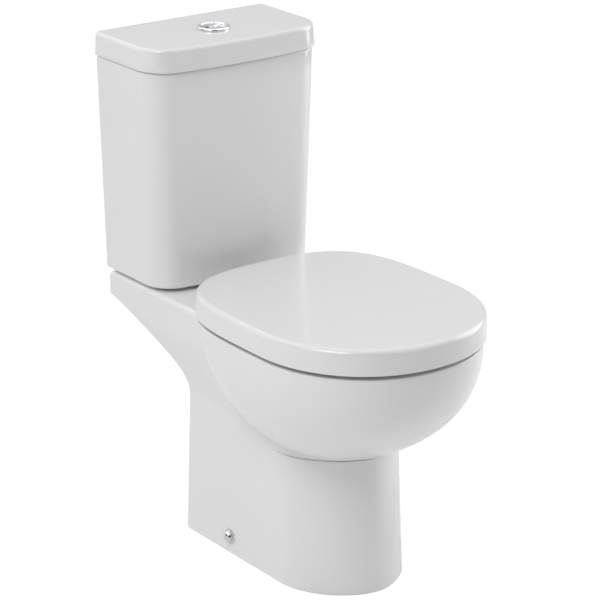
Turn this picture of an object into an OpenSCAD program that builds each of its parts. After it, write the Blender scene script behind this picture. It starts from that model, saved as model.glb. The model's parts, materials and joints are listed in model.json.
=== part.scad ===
// Close coupled toilet: a pan with an open back, a cistern on its deck, a wrap-over seat and cover,
// a twin push button flush valve and a bottom entry fill valve.
// Millimetres. X is across, +Y points to the wall, +Z is up; the origin is on the floor, under the
// middle of the outline. Depths are measured forward from the wall plane and placed by wy().

/* [Overall] */
// Widest width, across the seat cover
cover_w = 360; // [320:1:440]
// Depth from the wall plane to the front of the seat cover
overall_d = 645; // [560:1:780]
// Height of the top face of the cistern lid
lid_top_h = 780; // [700:1:940]
// Height of the rim and the deck of the pan
pan_h = 396; // [360:1:480]

/* [Pan] */
// Thickness of the fired clay walls
china_t = 11; // [8:1:14]
// Width of the pedestal
pedestal_w = 206; // [180:1:250]
// Depth from the wall to the front of the pedestal at the floor
pedestal_front_d = 512; // [480:1:540]
// Depth from the wall to the rear edge of the pedestal at the floor
pedestal_rear_d = 150; // [130:1:180]
// How far the front of the pedestal leans back between the floor and the start of the flare
pedestal_lean = 12; // [0:1:16]
// Width of the deck that carries the cistern
deck_w = 287; // [270:1:345]
// Thickness of the deck plate
deck_t = 15; // [12:1:20]
// Height of the lip round the deck
deck_lip_h = 37; // [28:1:40]
// Rounding of the top edges of the deck and the rim
edge_r = 8; // [4:1:10]
// Height where the side panels start to widen towards the deck
flare_h = 225; // [200:1:250]
// Depth from the wall to the widest place of the bowl
bowl_wide_d = 460; // [440:1:480]
// Depth of the outside of the bowl below the rim
bowl_h = 201; // [180:1:220]
// Width of the flat top of the rim
rim_w = 48; // [40:1:56]
// Depth from the wall to the rear edge of the bowl opening
bowl_open_d = 300; // [290:1:320]
// Diameter of the outlet spigot
outlet_dia = 102; // [90:1:112]
// Height of the centre of the outlet
outlet_h = 180; // [170:1:200]
// Depth from the wall to the end of the outlet spigot
outlet_d = 90; // [70:1:120]
// Height and depth of the side fixing screws
side_screw_h = 28; // [22:1:36]
side_screw_d = 269; // [240:1:300]

/* [Cistern] */
// Width of the cistern body at its top
cistern_top_w = 312; // [280:1:340]
// Width of the cistern body at its bottom
cistern_base_w = 293; // [270:1:320]
// Depth of the cistern body at its top
cistern_top_d = 169; // [150:1:190]
// Depth of the cistern body at its bottom
cistern_base_d = 162.5; // [150:0.5:185]
// Radius of the front corners
cistern_r = 48; // [35:1:60]
// Thickness of the cistern walls
cistern_t = 10; // [8:1:12]
// Gap between the deck and the underside of the cistern
couple_gap = 5; // [3:0.5:8]
// Height of the lid
lid_h = 38; // [30:1:46]
// Overhang of the lid beyond the cistern body
lid_over = 2.4; // [2:0.1:5]
// Depth from the wall to the flush button and the flush valve
valve_d = 88; // [84:1:92]
// Diameter of the button bezel
bezel_dia = 52; // [48:1:62]
// Travel of the flush buttons
button_travel = 8; // [5:1:10]
// Distance of the fill valve from the middle
fill_x = 106; // [104:1:110]

/* [Seat] */
// Height of the seat cover above the rim
cover_top = 43; // [40:1:50]
// Gap between the rim and the skirt of the cover
cover_gap = 5; // [2:0.5:6]
// Wall of the cover
cover_t = 4.5; // [3.5:0.5:6]
// Thickness of the seat ring
seat_t = 20; // [16:1:22]
// Gap between the rim and the seat, filled by the buffers
seat_gap = 6; // [4:0.5:8]
// Width of the seat ring at its sides
seat_ring_w = 51; // [46:1:56]
// Depth from the wall to the hinge axis
hinge_d = 224; // [220:0.5:228]
// Distance between the two hinge studs
hinge_span = 155; // [130:1:186]
// Diameter of the hinge pins
pin_dia = 8; // [6:1:9]

/* [Fits] */
// Radial clearance of turning and sliding fits
run_clear = 0.08; // [0.02:0.01:0.1]
// Radial clearance of threads and of pieces that are clamped
fit_clear = 0.15; // [0.1:0.05:0.3]
// Gap left between soft pads and what they rest on
soft_gap = 0.3; // [0.2:0.1:0.5]

/* [Hidden] */

china = [0.93, 0.93, 0.925];
chrome = [0.78, 0.79, 0.80];
white_plastic = [0.90, 0.90, 0.89];
grey_plastic = [0.55, 0.57, 0.60];
blue_plastic = [0.25, 0.45, 0.70];
steel = [0.62, 0.63, 0.65];
brass = [0.80, 0.66, 0.34];
rubber = [0.12, 0.12, 0.13];
eps = 0.01;
slide_gap = 0.6;
fn_round = 64;
ring_n = 56;

// Y of a place at depth d in front of the wall plane
function wy(d) = overall_d/2 - d;
// Smooth step from 0 to 1
function ease(t) = let (k = min(max(t, 0), 1)) k*k*(3 - 2*k);
// Arc of n + 1 points
function arc(cx, cy, r, a0, a1, n) =
    [for (i = [0:n]) let (a = a0 + (a1 - a0)*i/n) [cx + r*cos(a), cy + r*sin(a)]];
function lift(outline, z) = [for (p = outline) [p[0], p[1], z]];

// Egg outline: half width a at y = yc, front and rear lengths bf and br, exponents nf and nr
function egg(a, yc, bf, br, nf, nr) = [
    for (i = [0:ring_n - 1])
        let (t = 360*i/ring_n, c = cos(t), s = sin(t), b = s > 0 ? br : bf, n = s > 0 ? nr : nf,
             r = pow(pow(abs(c)/a, n) + pow(abs(s)/b, n), -1/n))
        [r*c, yc + r*s]
];

// D outline: straight sides and rear with small corners, half ellipse in front
function dee(hw, y_rear, corner, yc, b) = concat(
    arc(hw - corner, y_rear - corner, corner, 0, 90, 3),
    arc(-hw + corner, y_rear - corner, corner, 90, 180, 3),
    [for (i = [0:20]) let (a = 180 + 9*i) [hw*cos(a), yc + b*sin(a)]]
);

// Tank outline between depths d0 and d1: straight back, round corners, bowed front
function tank(hw, d0, d1, rf, rb) =
    let (bow = 900, yc = wy(d1) + bow, xk = hw - rf,
         yk = yc - sqrt(pow(bow - rf, 2) - xk*xk), phi = atan2(yk - yc, xk))
    concat(
        arc(xk, yk, rf, phi, 0, 7),
        arc(hw - rb, wy(d0) - rb, rb, 0, 90, 3),
        arc(-hw + rb, wy(d0) - rb, rb, 90, 180, 3),
        arc(-xk, yk, rf, 180, 180 - phi, 7),
        [for (i = [1:5]) let (a = 180 - phi + (180 + 2*phi)*i/6) [bow*cos(a), yc + bow*sin(a)]]
    );

// Closed skin through a list of rings, lowest first
module loft(rings) {
    n = len(rings[0]);
    m = len(rings);
    polyhedron(
        points = [for (r = rings) each r],
        faces = concat(
            [[for (i = [0:n - 1]) i]],
            [for (j = [0:m - 2], i = [0:n - 1])
                [j*n + i, (j + 1)*n + i, (j + 1)*n + (i + 1)%n, j*n + (i + 1)%n]],
            [[for (i = [n - 1:-1:0]) (m - 1)*n + i]]
        )
    );
}

// Everything inside is worked out as one mesh
module as_mesh() {
    resize([0, 0, 0]) children();
}

// Tube of radius r along points [y, z] that lie in the middle plane, with the angle of each point
module sweep_mid(path, r, n = 20) {
    loft([for (p = path) [for (k = [0:n - 1])
        let (t = 360*k/n)
        [r*cos(t), p[0] + r*sin(t)*sin(p[2]), p[1] - r*sin(t)*cos(p[2])]]]);
}

module both_sides() {
    for (s = [-1, 1]) scale([s, 1, 1]) children();
}

module tube(r_out, r_in, z0, z1) {
    translate([0, 0, z0]) difference() {
        cylinder(r = r_out, h = z1 - z0, $fn = fn_round);
        translate([0, 0, -1]) cylinder(r = r_in, h = z1 - z0 + 2, $fn = fn_round);
    }
}

module hex_nut(r_corner, r_in, z0, z1) {
    translate([0, 0, z0]) difference() {
        cylinder(r = r_corner, h = z1 - z0, $fn = 6);
        translate([0, 0, -1]) cylinder(r = r_in, h = z1 - z0 + 2, $fn = fn_round);
    }
}

// Wing nut with its top face at z1
module wing_nut(r_in, h, z1) {
    wing_t = 3;
    translate([0, 0, z1 - h]) difference() {
        union() {
            cylinder(r = r_in + 3.5, h = h, $fn = fn_round);
            for (s = [-1, 1]) translate([s*(r_in + 5.5) - 3.5, -wing_t/2, -3]) cube([7, wing_t, h - 1]);
        }
        translate([0, 0, -4]) cylinder(r = r_in, h = h + 8, $fn = fn_round);
    }
}

// ---- pan ----

pedestal_b = 110;
pedestal_yc = wy(pedestal_front_d - pedestal_b);
rear_gap = 2;
panel_corner = 3;
lip_z = pan_h - deck_lip_h;
notch_z = flare_h + 20;
notch_d = pedestal_rear_d + 13;
notch_far = 133;
notch_long = notch_far + notch_d - rear_gap;
notch_tall = (lip_z - notch_z)/sqrt(1 - pow(notch_far/notch_long, 2));

// Half width of the side panels at height z
function panel_hw(z) =
    pedestal_w/2 + (deck_w - pedestal_w)/2*ease((z - flare_h)/(lip_z - 6 - flare_h));
// Depth of the rear edge of the side panels at height z
function panel_d(z) =
    z <= notch_z ? pedestal_rear_d + (notch_d - pedestal_rear_d)*z/notch_z
    : z >= lip_z ? rear_gap
    : rear_gap - notch_far + notch_long*sqrt(max(0, 1 - pow((z - notch_z)/notch_tall, 2)));
// Length of the rounded front of the pedestal at height z
function panel_b(z) = pedestal_b - pedestal_lean*min(z/flare_h, 1);
function panel(z, t, open) =
    dee(panel_hw(z) - t, open ? wy(-20) : wy(panel_d(z) + t), panel_corner, pedestal_yc, panel_b(z) - t);
function panel_levels() = concat(
    [0, flare_h],
    [for (k = [1:11]) flare_h + (lip_z - flare_h)*k/11]
);

bowl_hw = cover_w/2 - 2;
bowl_yc = wy(bowl_wide_d);
bowl_bf = overall_d - bowl_wide_d - 3.5;
bowl_br = 246;
bowl_drift = 57;
sump_d = bowl_wide_d - bowl_drift;

// Outline of the bowl at depth share u below the rim, drawn in by t
function bowl_ring(u, t) =
    let (s = pow(1 - pow(u, 2.6), 1/1.83))
    egg(bowl_hw*s - t*s, bowl_yc + bowl_drift*u*u, bowl_bf*s - t*s,
        (bowl_br*s - t*s)*(1 - 0.2*u), 2.1, 4 - 1.5*u);
bowl_shares = [0.985, 0.95, 0.9, 0.84, 0.77, 0.69, 0.6, 0.5, 0.4, 0.3, 0.2, 0.1];

module bowl_outer() {
    loft(concat(
        [for (u = bowl_shares) lift(bowl_ring(u, 0), pan_h - bowl_h*u)],
        [for (k = [0:3]) let (a = 30*k)
            lift(bowl_ring(0.03, edge_r*(1 - cos(a))), pan_h - edge_r + edge_r*sin(a))]
    ));
}

rim_h = 44;
module bowl_inner() {
    floor_t = china_t + 3;
    share = rim_h/(bowl_h - floor_t);
    loft([for (u = concat([for (v = bowl_shares) if (v > share + 0.02) v], [share]))
        lift(bowl_ring(u, china_t), pan_h - (bowl_h - floor_t)*u)]);
    translate([0, 0, pan_h - rim_h - 1]) linear_extrude(rim_h + 2) polygon(opening(0));
}
// Outline of the bowl opening, let out by t
function opening(t) = egg(bowl_hw - rim_w + t, bowl_yc + 8, bowl_bf - rim_w + 8 + t,
    bowl_wide_d - 8 - bowl_open_d + t, 2.1, 2.6);

module rim_channel() {
    channel_z = pan_h - rim_h + 10;
    channel_h = 22;
    inner_wall = 9;
    hole_r = 3;
    difference() {
        translate([0, 0, channel_z]) linear_extrude(channel_h) polygon(bowl_ring(0.12, china_t));
        translate([0, 0, channel_z - 1]) linear_extrude(channel_h + 2) polygon(opening(inner_wall));
    }
    holes = [for (i = [0:4:ring_n - 1]) opening(inner_wall + hole_r + 4)[i]];
    for (p = holes) translate([p[0], p[1], channel_z - 12]) cylinder(r = hole_r, h = 14, $fn = 8);
}

trap_r = 38;
trap_t = 11;
spigot_l = 80;
down_bend = 55;
crown_bend = 62;
bend_z = outlet_h - crown_bend;
crown_d = sump_d - 2*down_bend - crown_bend;
// Middle line of the water trap as [y, z, angle]: down, round the low bend, up, over to the outlet
trap_path = concat(
    [[wy(sump_d), pan_h - bowl_h + 28, -90]],
    [for (k = [0:9]) let (a = 180 + 20*k)
        [wy(sump_d - down_bend) + down_bend*cos(a), bend_z + down_bend*sin(a), a + 90 - 360]],
    [for (k = [1:6]) let (a = 180 - 15*k)
        [wy(crown_d) + crown_bend*cos(a), bend_z + crown_bend*sin(a), a - 90]]
);
pipe_lap = 3;
// Exact cylinder along the outlet, from the crown of the trap to depth d
module outlet_pipe(r, d) {
    translate([0, wy(crown_d) - pipe_lap, outlet_h]) rotate([-90, 0, 0])
        cylinder(r = r, h = crown_d - d + pipe_lap, $fn = fn_round);
}

duct_hw = 37;
duct_wall = 9;
duct_z0 = pan_h - 65;
duct_z1 = pan_h - 43;
duct_front_d = 252;
duct_rear_d = 51;
duct_rise_l = 28;
duct_roof = 12;
well_r = 47;
well_floor = pan_h - 32;
inlet_r = 30;
bolt_x = 70;
bolt_r = 4;
module duct_outer() {
    translate([-duct_hw - duct_wall, wy(duct_front_d - duct_roof), duct_z0 - duct_wall])
        cube([2*(duct_hw + duct_wall), duct_front_d - duct_roof - duct_rear_d + duct_wall,
            duct_z1 - duct_z0 + 2*duct_wall]);
    translate([0, wy(valve_d), duct_z1]) cylinder(r = well_r + 8, h = pan_h - duct_z1 - 5, $fn = 48);
}
// Passage from under the cistern to the rim channel, with its rise at the front
module duct_inner() {
    translate([-duct_hw, wy(duct_front_d), duct_z0])
        cube([2*duct_hw, duct_front_d - duct_rear_d, duct_z1 - duct_z0]);
    translate([-duct_hw, wy(duct_front_d - 2), duct_z0])
        cube([2*duct_hw, duct_rise_l, pan_h - duct_roof - duct_z0]);
}

// The pan is one casting, held here as four solids that meet face to face: the pedestal with its
// deck, the rim, the bowl below the rim, and the trap.
module pedestal_body() {
    difference() {
        union() {
            difference() {
                loft(concat(
                    [for (z = panel_levels()) lift(panel(z, 0, false), z)],
                    [for (k = [0:3]) let (a = 30*k, t = edge_r*(1 - cos(a)))
                        lift(panel(pan_h, t, false), pan_h - edge_r + edge_r*sin(a))]
                ));
                loft(concat(
                    [lift(panel(0, china_t, true), -1)],
                    [for (z = panel_levels()) if (z > 0 && z < lip_z - 1) lift(panel(z, china_t, true), z)],
                    [lift(panel(lip_z, china_t, true), lip_z - eps)]
                ));
                loft([
                    lift(panel(lip_z, china_t, false), lip_z - 1),
                    lift(panel(lip_z, china_t, false), pan_h - deck_t)
                ]);
            }
            duct_outer();
        }
        bowl_outer();
        duct_inner();
    }
}
module bowl_body() {
    difference() {
        bowl_outer();
        bowl_inner();
        rim_channel();
        duct_inner();
        sweep_mid(trap_path, trap_r);
        translate([0, wy(sump_d), pan_h - bowl_h + 8])
            cylinder(r1 = trap_r - 1, r2 = trap_r + 22, h = 24, $fn = 32);
    }
}
// Everything at the height of the rim
module rim_zone() {
    translate([-cover_w, -overall_d, pan_h - rim_h]) cube([2*cover_w, 2*overall_d, 2*rim_h]);
}
module trap_body() {
    difference() {
        sweep_mid(trap_path, trap_r + trap_t);
        bowl_outer();
        sweep_mid(trap_path, trap_r);
        translate([0, wy(crown_d) - 0.5, outlet_h]) rotate([-90, 0, 0])
            cylinder(r = trap_r, h = pipe_lap, $fn = 20);
    }
}

stud_d = hinge_d - 26;
stud_r = 4;
module pan() {
    color(china) difference() {
        as_mesh() pedestal_body();
        translate([0, wy(valve_d), well_floor]) cylinder(r = well_r, h = 60, $fn = fn_round);
        translate([0, wy(valve_d), duct_z1 - 2]) cylinder(r = inlet_r, h = 60, $fn = fn_round);
        both_sides() translate([bolt_x, wy(valve_d), pan_h - deck_t - 2])
            cylinder(r = bolt_r + 1.5, h = deck_t + 4, $fn = fn_round);
        both_sides() translate([hinge_span/2, wy(stud_d), pan_h - deck_t - 2])
            cylinder(r = stud_r + 2, h = deck_t + 4, $fn = fn_round);
        translate([fill_x, wy(valve_d), pan_h - deck_t - 2])
            cylinder(r = fill_nut_r + 4, h = deck_t + 4, $fn = fn_round);
        both_sides() translate([pedestal_w/2 - china_t - 1, wy(side_screw_d), side_screw_h])
            rotate([0, 90, 0]) cylinder(r = side_r + 0.5, h = china_t + 2, $fn = fn_round);
    }
}
module pan_rim() {
    color(china) as_mesh() intersection() {
        bowl_body();
        rim_zone();
    }
}
module pan_bowl() {
    color(china) as_mesh() difference() {
        bowl_body();
        rim_zone();
    }
}
module pan_trap() {
    color(china) difference() {
        union() {
            as_mesh() trap_body();
            outlet_pipe(trap_r + trap_t, outlet_d + spigot_l - 1);
            translate([0, wy(outlet_d), outlet_h]) rotate([90, 0, 0])
                cylinder(r = outlet_dia/2, h = spigot_l, $fn = fn_round);
        }
        translate([0, 1, 0]) outlet_pipe(outlet_dia/2 - trap_t, outlet_d);
    }
}

// ---- cistern ----

tank_z0 = pan_h + couple_gap;
tank_z1 = lid_top_h - lid_h;
tank_floor = 14;
floor_z = tank_z0 + tank_floor;
back_r = 3;

// Cistern outline at height z, drawn in by t
function tank_at(z, t) =
    let (k = (z - tank_z0)/(tank_z1 - tank_z0))
    tank((cistern_base_w + (cistern_top_w - cistern_base_w)*k)/2 - t, t,
        cistern_base_d + (cistern_top_d - cistern_base_d)*k - t, cistern_r - t, max(back_r - t*0.3, 1.5));

wall_hole_r = 4.5;
wall_hole_x = 90;
wall_hole_z = tank_z1 - 52;
module cistern() {
    foot_r = 4;
    color(china) difference() {
        as_mesh() difference() {
            loft(concat(
                [for (k = [0:2]) let (a = 45*k)
                    lift(tank_at(tank_z0, foot_r*(1 - sin(a))), tank_z0 + foot_r*(1 - cos(a)))],
                [lift(tank_at(tank_z1, 0), tank_z1)]
            ));
            loft([for (z = [floor_z, tank_z1 + 1]) lift(tank_at(z, cistern_t), z)]);
        }
        translate([0, wy(valve_d), tank_z0 - 1])
            cylinder(r = tail_r + 1.5, h = tank_floor + 2, $fn = fn_round);
        both_sides() translate([bolt_x, wy(valve_d), tank_z0 - 1])
            cylinder(r = bolt_r + 1, h = tank_floor + 2, $fn = fn_round);
        translate([fill_x, wy(valve_d), tank_z0 - 1])
            cylinder(r = fill_thread_r + 1.5, h = tank_floor + 2, $fn = fn_round);
        both_sides() translate([wall_hole_x, wy(-1), wall_hole_z]) rotate([90, 0, 0])
            cylinder(r = wall_hole_r, h = cistern_t + 2, $fn = fn_round);
    }
}

lid_t = 12;
lid_edge_r = 7.6;
bezel_rise = 4;
barrel_r = bezel_dia/2 - 5;
lid_hole_r = barrel_r + 1;
module cistern_lid() {
    lip_clear = 1.5;
    lip_t = 5;
    lip_drop = 8;
    lip_root = 6;
    hw = cistern_top_w/2 + lid_over;
    front = cistern_top_d + lid_over + 1.8;
    color(china) difference() {
        as_mesh() difference() {
            union() {
                difference() {
                    loft(concat(
                        [lift(tank(hw - 1, 0.5, front - 1, cistern_r + 1, back_r), tank_z1),
                         lift(tank(hw, 0, front, cistern_r + 2, back_r), tank_z1 + 1.5)],
                        [for (k = [0:4]) let (a = 22.5*k, t = lid_edge_r*(1 - cos(a)))
                            lift(tank(hw - t, t*0.15, front - t, cistern_r + 2 - t, back_r - t*0.15),
                                lid_top_h - lid_edge_r + lid_edge_r*sin(a))]
                    ));
                    loft([for (z = [tank_z1 + lip_root, lid_top_h - lid_t])
                        lift(tank(hw - lid_t, lid_t, front - lid_t, cistern_r - lid_t, 6), z)]);
                }
                loft([for (z = [tank_z1 - lip_drop, tank_z1 + 4])
                    lift(tank_at(tank_z1, cistern_t + lip_clear), z)]);
            }
            loft([for (z = [tank_z1 - lip_drop - 1, lid_top_h - lid_t])
                lift(tank_at(tank_z1, cistern_t + lip_clear + lip_t), z)]);
        }
        translate([0, wy(valve_d), lid_top_h - lid_t - 1])
            cylinder(r = lid_hole_r, h = lid_t + 2, $fn = fn_round);
    }
}

// ---- flush buttons ----

button_r = barrel_r - 2;
button_z0 = lid_top_h - 8;
bezel_floor_t = 3;
spring_closed = 11;
bezel_floor_z = button_z0 - button_travel - spring_closed - bezel_floor_t;
button_z1 = lid_top_h + bezel_rise - 0.5;
split_r = 22;
split_y = 23;
full_rod_y = -9;
half_rod_y = 9;
rod_r = 2.5;
plunger_top = tank_z1 - 14;

module at_valve() {
    translate([0, wy(valve_d), 0]) children();
}

module button_bezel() {
    color(chrome) at_valve() difference() {
        union() {
            rotate_extrude($fn = fn_round) polygon([
                [button_r, lid_top_h], [button_r, lid_top_h + bezel_rise - 1],
                [button_r + 1, lid_top_h + bezel_rise], [button_r + 3.5, lid_top_h + bezel_rise],
                [bezel_dia/2 - 0.8, lid_top_h + 1.8], [bezel_dia/2, lid_top_h + 0.8], [bezel_dia/2, lid_top_h]
            ]);
            tube(barrel_r, button_r, bezel_floor_z, lid_top_h);
            translate([0, 0, bezel_floor_z]) cylinder(r = barrel_r, h = bezel_floor_t, $fn = fn_round);
        }
        for (y = [full_rod_y, half_rod_y]) translate([0, y, bezel_floor_z - 1])
            cylinder(r = rod_r + run_clear, h = 6, $fn = fn_round);
    }
}
module button_lock_nut() {
    color(grey_plastic) at_valve()
        hex_nut(barrel_r + 7, barrel_r + fit_clear, lid_top_h - lid_t - 8, lid_top_h - lid_t);
}
module button_split(r) {
    translate([0, split_y, button_z0 - 20]) cylinder(r = r, h = 60, $fn = fn_round);
}
module button_disc() {
    translate([0, 0, button_z0])
        cylinder(r = button_r - run_clear, h = button_z1 - button_z0 - 1, $fn = fn_round);
    translate([0, 0, button_z1 - 1])
        cylinder(r1 = button_r - run_clear, r2 = button_r - 1, h = 1, $fn = fn_round);
}
module full_flush_button() {
    color(chrome) at_valve() difference() {
        button_disc();
        button_split(split_r + 0.4);
    }
}
module half_flush_button() {
    color(chrome) at_valve() intersection() {
        button_disc();
        button_split(split_r);
    }
}
// Push rod screwed up against the underside of a button
module push_rod(y) {
    color(grey_plastic) at_valve() translate([0, y, plunger_top + soft_gap])
        cylinder(r = rod_r, h = button_z0 - plunger_top - soft_gap, $fn = fn_round);
}
module full_flush_rod() {
    push_rod(full_rod_y);
}
module half_flush_rod() {
    push_rod(half_rod_y);
}
// Coil spring round a rod, from the bezel floor to the button
module coil_spring(y) {
    turns = 5;
    wire_r = 0.45;
    coil_r = rod_r + 1.5;
    steps = 12;
    z0 = bezel_floor_z + bezel_floor_t + wire_r + 0.05;
    rise = button_z0 - z0 - wire_r - 0.05;
    color(steel) at_valve() translate([0, y, 0]) loft([for (k = [0:turns*steps])
        let (a = 360*k/steps, z = z0 + rise*k/(turns*steps))
        [for (j = [0:5]) let (b = 60*j, q = coil_r + wire_r*cos(b))
            [q*cos(a), q*sin(a), z - wire_r*sin(b)]]]);
}
module full_button_spring() {
    coil_spring(full_rod_y);
}
module half_button_spring() {
    coil_spring(half_rod_y);
}

// ---- flush valve ----

tail_r = 24;
gasket_t = 3;
base_z = floor_z + gasket_t;
flange_r = 42;
flange_t = 5;
seat_r = 20;
tail_end = pan_h - 26;
tower_r = 31;
tower_t = 2.5;
tower_z0 = base_z + 34;
tower_top = plunger_top - 7;
cap_t = 6;
plunger_r = 5;
plunger_h = 34;
tube_r = 12;
lip_h = 2.6;
seal_ring_t = 2.2;
tube_z0 = base_z + flange_t + lip_h + soft_gap + seal_ring_t;
tube_top = plunger_top - 68;

module flush_valve_base() {
    color(white_plastic) at_valve() difference() {
        union() {
            tube(flange_r, seat_r, base_z, base_z + flange_t);
            tube(tail_r, seat_r, tail_end, base_z);
            tube(seat_r + 3, seat_r, base_z + flange_t, base_z + flange_t + lip_h);
            difference() {
                tube(tower_r + 5, tower_r + 2, base_z + flange_t, tower_z0 + 8);
                for (a = [0:60:300]) rotate([0, 0, a]) translate([0, -11, base_z + flange_t + 2])
                    cube([flange_r, 22, 20]);
            }
        }
    }
}
module flush_valve_tower() {
    color(blue_plastic) at_valve() {
        difference() {
            union() {
                tube(tower_r, tower_r - tower_t, tower_z0, tower_top);
                tube(tower_r + 2 - fit_clear, tower_r - tower_t, tower_z0, tower_z0 + 8);
                translate([0, 0, tower_top - cap_t]) cylinder(r = tower_r, h = cap_t, $fn = fn_round);
            }
            for (y = [full_rod_y, half_rod_y]) translate([0, y, tower_top - cap_t - 1])
                cylinder(r = plunger_r*0.8 + run_clear, h = cap_t + 2, $fn = fn_round);
            for (a = [0, 90], z = [tower_z0 + 20:50:tower_top - 60]) rotate([0, 0, a])
                translate([-9, -tower_r - 1, z]) cube([18, 2*tower_r + 2, 32]);
        }
        tube(tower_r - tower_t + 0.5, tube_r + slide_gap, tower_z0 + 8, tower_z0 + 11);
    }
}
// Plunger that a button rod pushes down through the cap of the tower
module plunger(y) {
    color(grey_plastic) at_valve() translate([0, y, 0]) {
        translate([0, 0, plunger_top - plunger_h])
            cylinder(r = plunger_r*0.8, h = plunger_h, $fn = fn_round);
        translate([0, 0, plunger_top - plunger_h - 3]) cylinder(r = plunger_r, h = 3, $fn = fn_round);
    }
}
module full_flush_plunger() {
    plunger(full_rod_y);
}
module half_flush_plunger() {
    plunger(half_rod_y);
}
// Moving overflow tube with the flange that carries the seal
module flush_valve_tube() {
    color(white_plastic) at_valve() {
        tube(tube_r, tube_r - 2, tube_z0, tube_top);
        tube(seat_r + 4, tube_r - 2, tube_z0, tube_z0 + 3);
    }
}
module flush_valve_seal() {
    color(rubber) at_valve() tube(seat_r + 5, tube_r - 1, tube_z0 - seal_ring_t, tube_z0);
}
module flush_valve_float() {
    float_z = tower_z0 + 60;
    color(grey_plastic) at_valve() tube(tower_r - tower_t - 1.5, tube_r, float_z, float_z + 46);
}
module flush_valve_gasket() {
    color(rubber) at_valve() tube(flange_r - 1, tail_r + 1, floor_z, base_z);
}
module flush_valve_backnut() {
    color(white_plastic) at_valve() hex_nut(34, tail_r + fit_clear, tank_z0 - 16, tank_z0);
}
module coupling_gasket() {
    color(rubber) at_valve() tube(well_r - 1, 35.5, well_floor, tank_z0);
}

// ---- coupling bolts, one each side of the flush valve ----

bolt_washer_r = 10;
seal_t = 4;
steel_t = 1.5;
bolt_head_z = floor_z + seal_t + steel_t;
nut_top = pan_h - deck_t - steel_t;
module at_bolts() {
    both_sides() translate([bolt_x, wy(valve_d), 0]) children();
}
module coupling_bolts() {
    color(brass) at_bolts() {
        translate([0, 0, bolt_head_z]) cylinder(r = 7.5, h = 5, $fn = 6);
        translate([0, 0, nut_top - 22]) cylinder(r = bolt_r, h = bolt_head_z - nut_top + 22, $fn = fn_round);
    }
}
module coupling_seals() {
    color(rubber) at_bolts() tube(bolt_washer_r, bolt_r + fit_clear, floor_z, floor_z + seal_t);
}
module coupling_washers() {
    color(steel) at_bolts() {
        tube(bolt_washer_r, bolt_r + fit_clear, floor_z + seal_t, bolt_head_z);
        tube(bolt_washer_r, bolt_r + fit_clear, nut_top, nut_top + steel_t);
    }
}
module coupling_wing_nuts() {
    color(brass) at_bolts() rotate([0, 0, 90]) wing_nut(bolt_r + fit_clear, 8, nut_top);
}

// ---- fill valve ----

fill_tail_r = 10.48;
fill_thread_r = 10.2;
fill_tail_h = 30;
fill_tail_z = tank_z0 - 42;
fill_nut_r = 15;
fill_seat_z = floor_z + gasket_t;
fill_flange_t = 5;
riser_r = 8;
head_r = 17;
head_h = 34;
head_top = tank_z1 - 44;
float_travel = 12;
float_h = 70;
float_rest = 14;
float_top = head_top - head_h - float_travel - float_rest;
float_rod_r = 1.6;
arm_t = 4;
float_r = 26;
float_stop_t = 4;
lever_pin_r = 2;
lever_y = 6;
lever_z = head_top + 9;
lever_reach = 30;
lever_hw = 3.5;
ear_t = 3;
rod_y = lever_y - lever_reach;

module at_fill() {
    translate([fill_x, wy(valve_d), 0]) children();
}
// Cylinder along X at the lever's pivot
module lever_axle(r, half) {
    translate([-half, lever_y, lever_z]) rotate([0, 90, 0]) cylinder(r = r, h = 2*half, $fn = fn_round);
}
module fill_valve_shank() {
    bore_r = 5;
    top_z = head_top - head_h;
    color(white_plastic) at_fill() difference() {
        union() {
            translate([0, 0, fill_tail_z]) cylinder(r = fill_tail_r, h = fill_tail_h, $fn = fn_round);
            translate([0, 0, fill_tail_z + fill_tail_h])
                cylinder(r = fill_thread_r, h = fill_seat_z - fill_tail_z - fill_tail_h + 1, $fn = fn_round);
            translate([0, 0, fill_seat_z]) cylinder(r = head_r, h = fill_flange_t, $fn = fn_round);
            translate([0, 0, fill_seat_z + fill_flange_t])
                cylinder(r = riser_r, h = top_z - fill_seat_z - fill_flange_t, $fn = fn_round);
            translate([0, 0, float_top - float_h - soft_gap - float_stop_t])
                cylinder(r = riser_r + 3, h = float_stop_t, $fn = fn_round);
        }
        translate([0, 0, fill_tail_z - 1]) cylinder(r = bore_r, h = top_z - fill_tail_z - 6, $fn = fn_round);
    }
}
module fill_valve_seal() {
    color(rubber) at_fill() tube(head_r - 1, fill_thread_r + fit_clear, floor_z, fill_seat_z);
}
module fill_valve_backnut() {
    color(white_plastic) at_fill() hex_nut(fill_nut_r, fill_thread_r + fit_clear, tank_z0 - 10, tank_z0);
}
module fill_valve_head() {
    color(grey_plastic) at_fill() difference() {
        union() {
            translate([0, 0, head_top - head_h]) cylinder(r = head_r, h = head_h - 6, $fn = fn_round);
            translate([0, 0, head_top - 6]) cylinder(r = head_r - 3, h = 6, $fn = fn_round);
            for (s = [-1, 1]) translate([s*(lever_hw + 0.3 + ear_t/2) - ear_t/2, lever_y - 5, head_top - 1])
                cube([ear_t, 10, lever_z - head_top + 6]);
        }
        lever_axle(lever_pin_r + fit_clear, 20);
    }
}
module fill_valve_lever_pin() {
    color(steel) at_fill() lever_axle(lever_pin_r, lever_hw + ear_t + 1.5);
}
// Lever over the head, from its pin to above the float rod
module fill_valve_lever() {
    color(white_plastic) at_fill() difference() {
        union() {
            lever_axle(4.5, lever_hw);
            translate([-lever_hw, rod_y - 4, lever_z - arm_t/2]) cube([2*lever_hw, lever_reach + 4, arm_t]);
        }
        lever_axle(lever_pin_r + run_clear, lever_hw + 1);
    }
}
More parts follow.
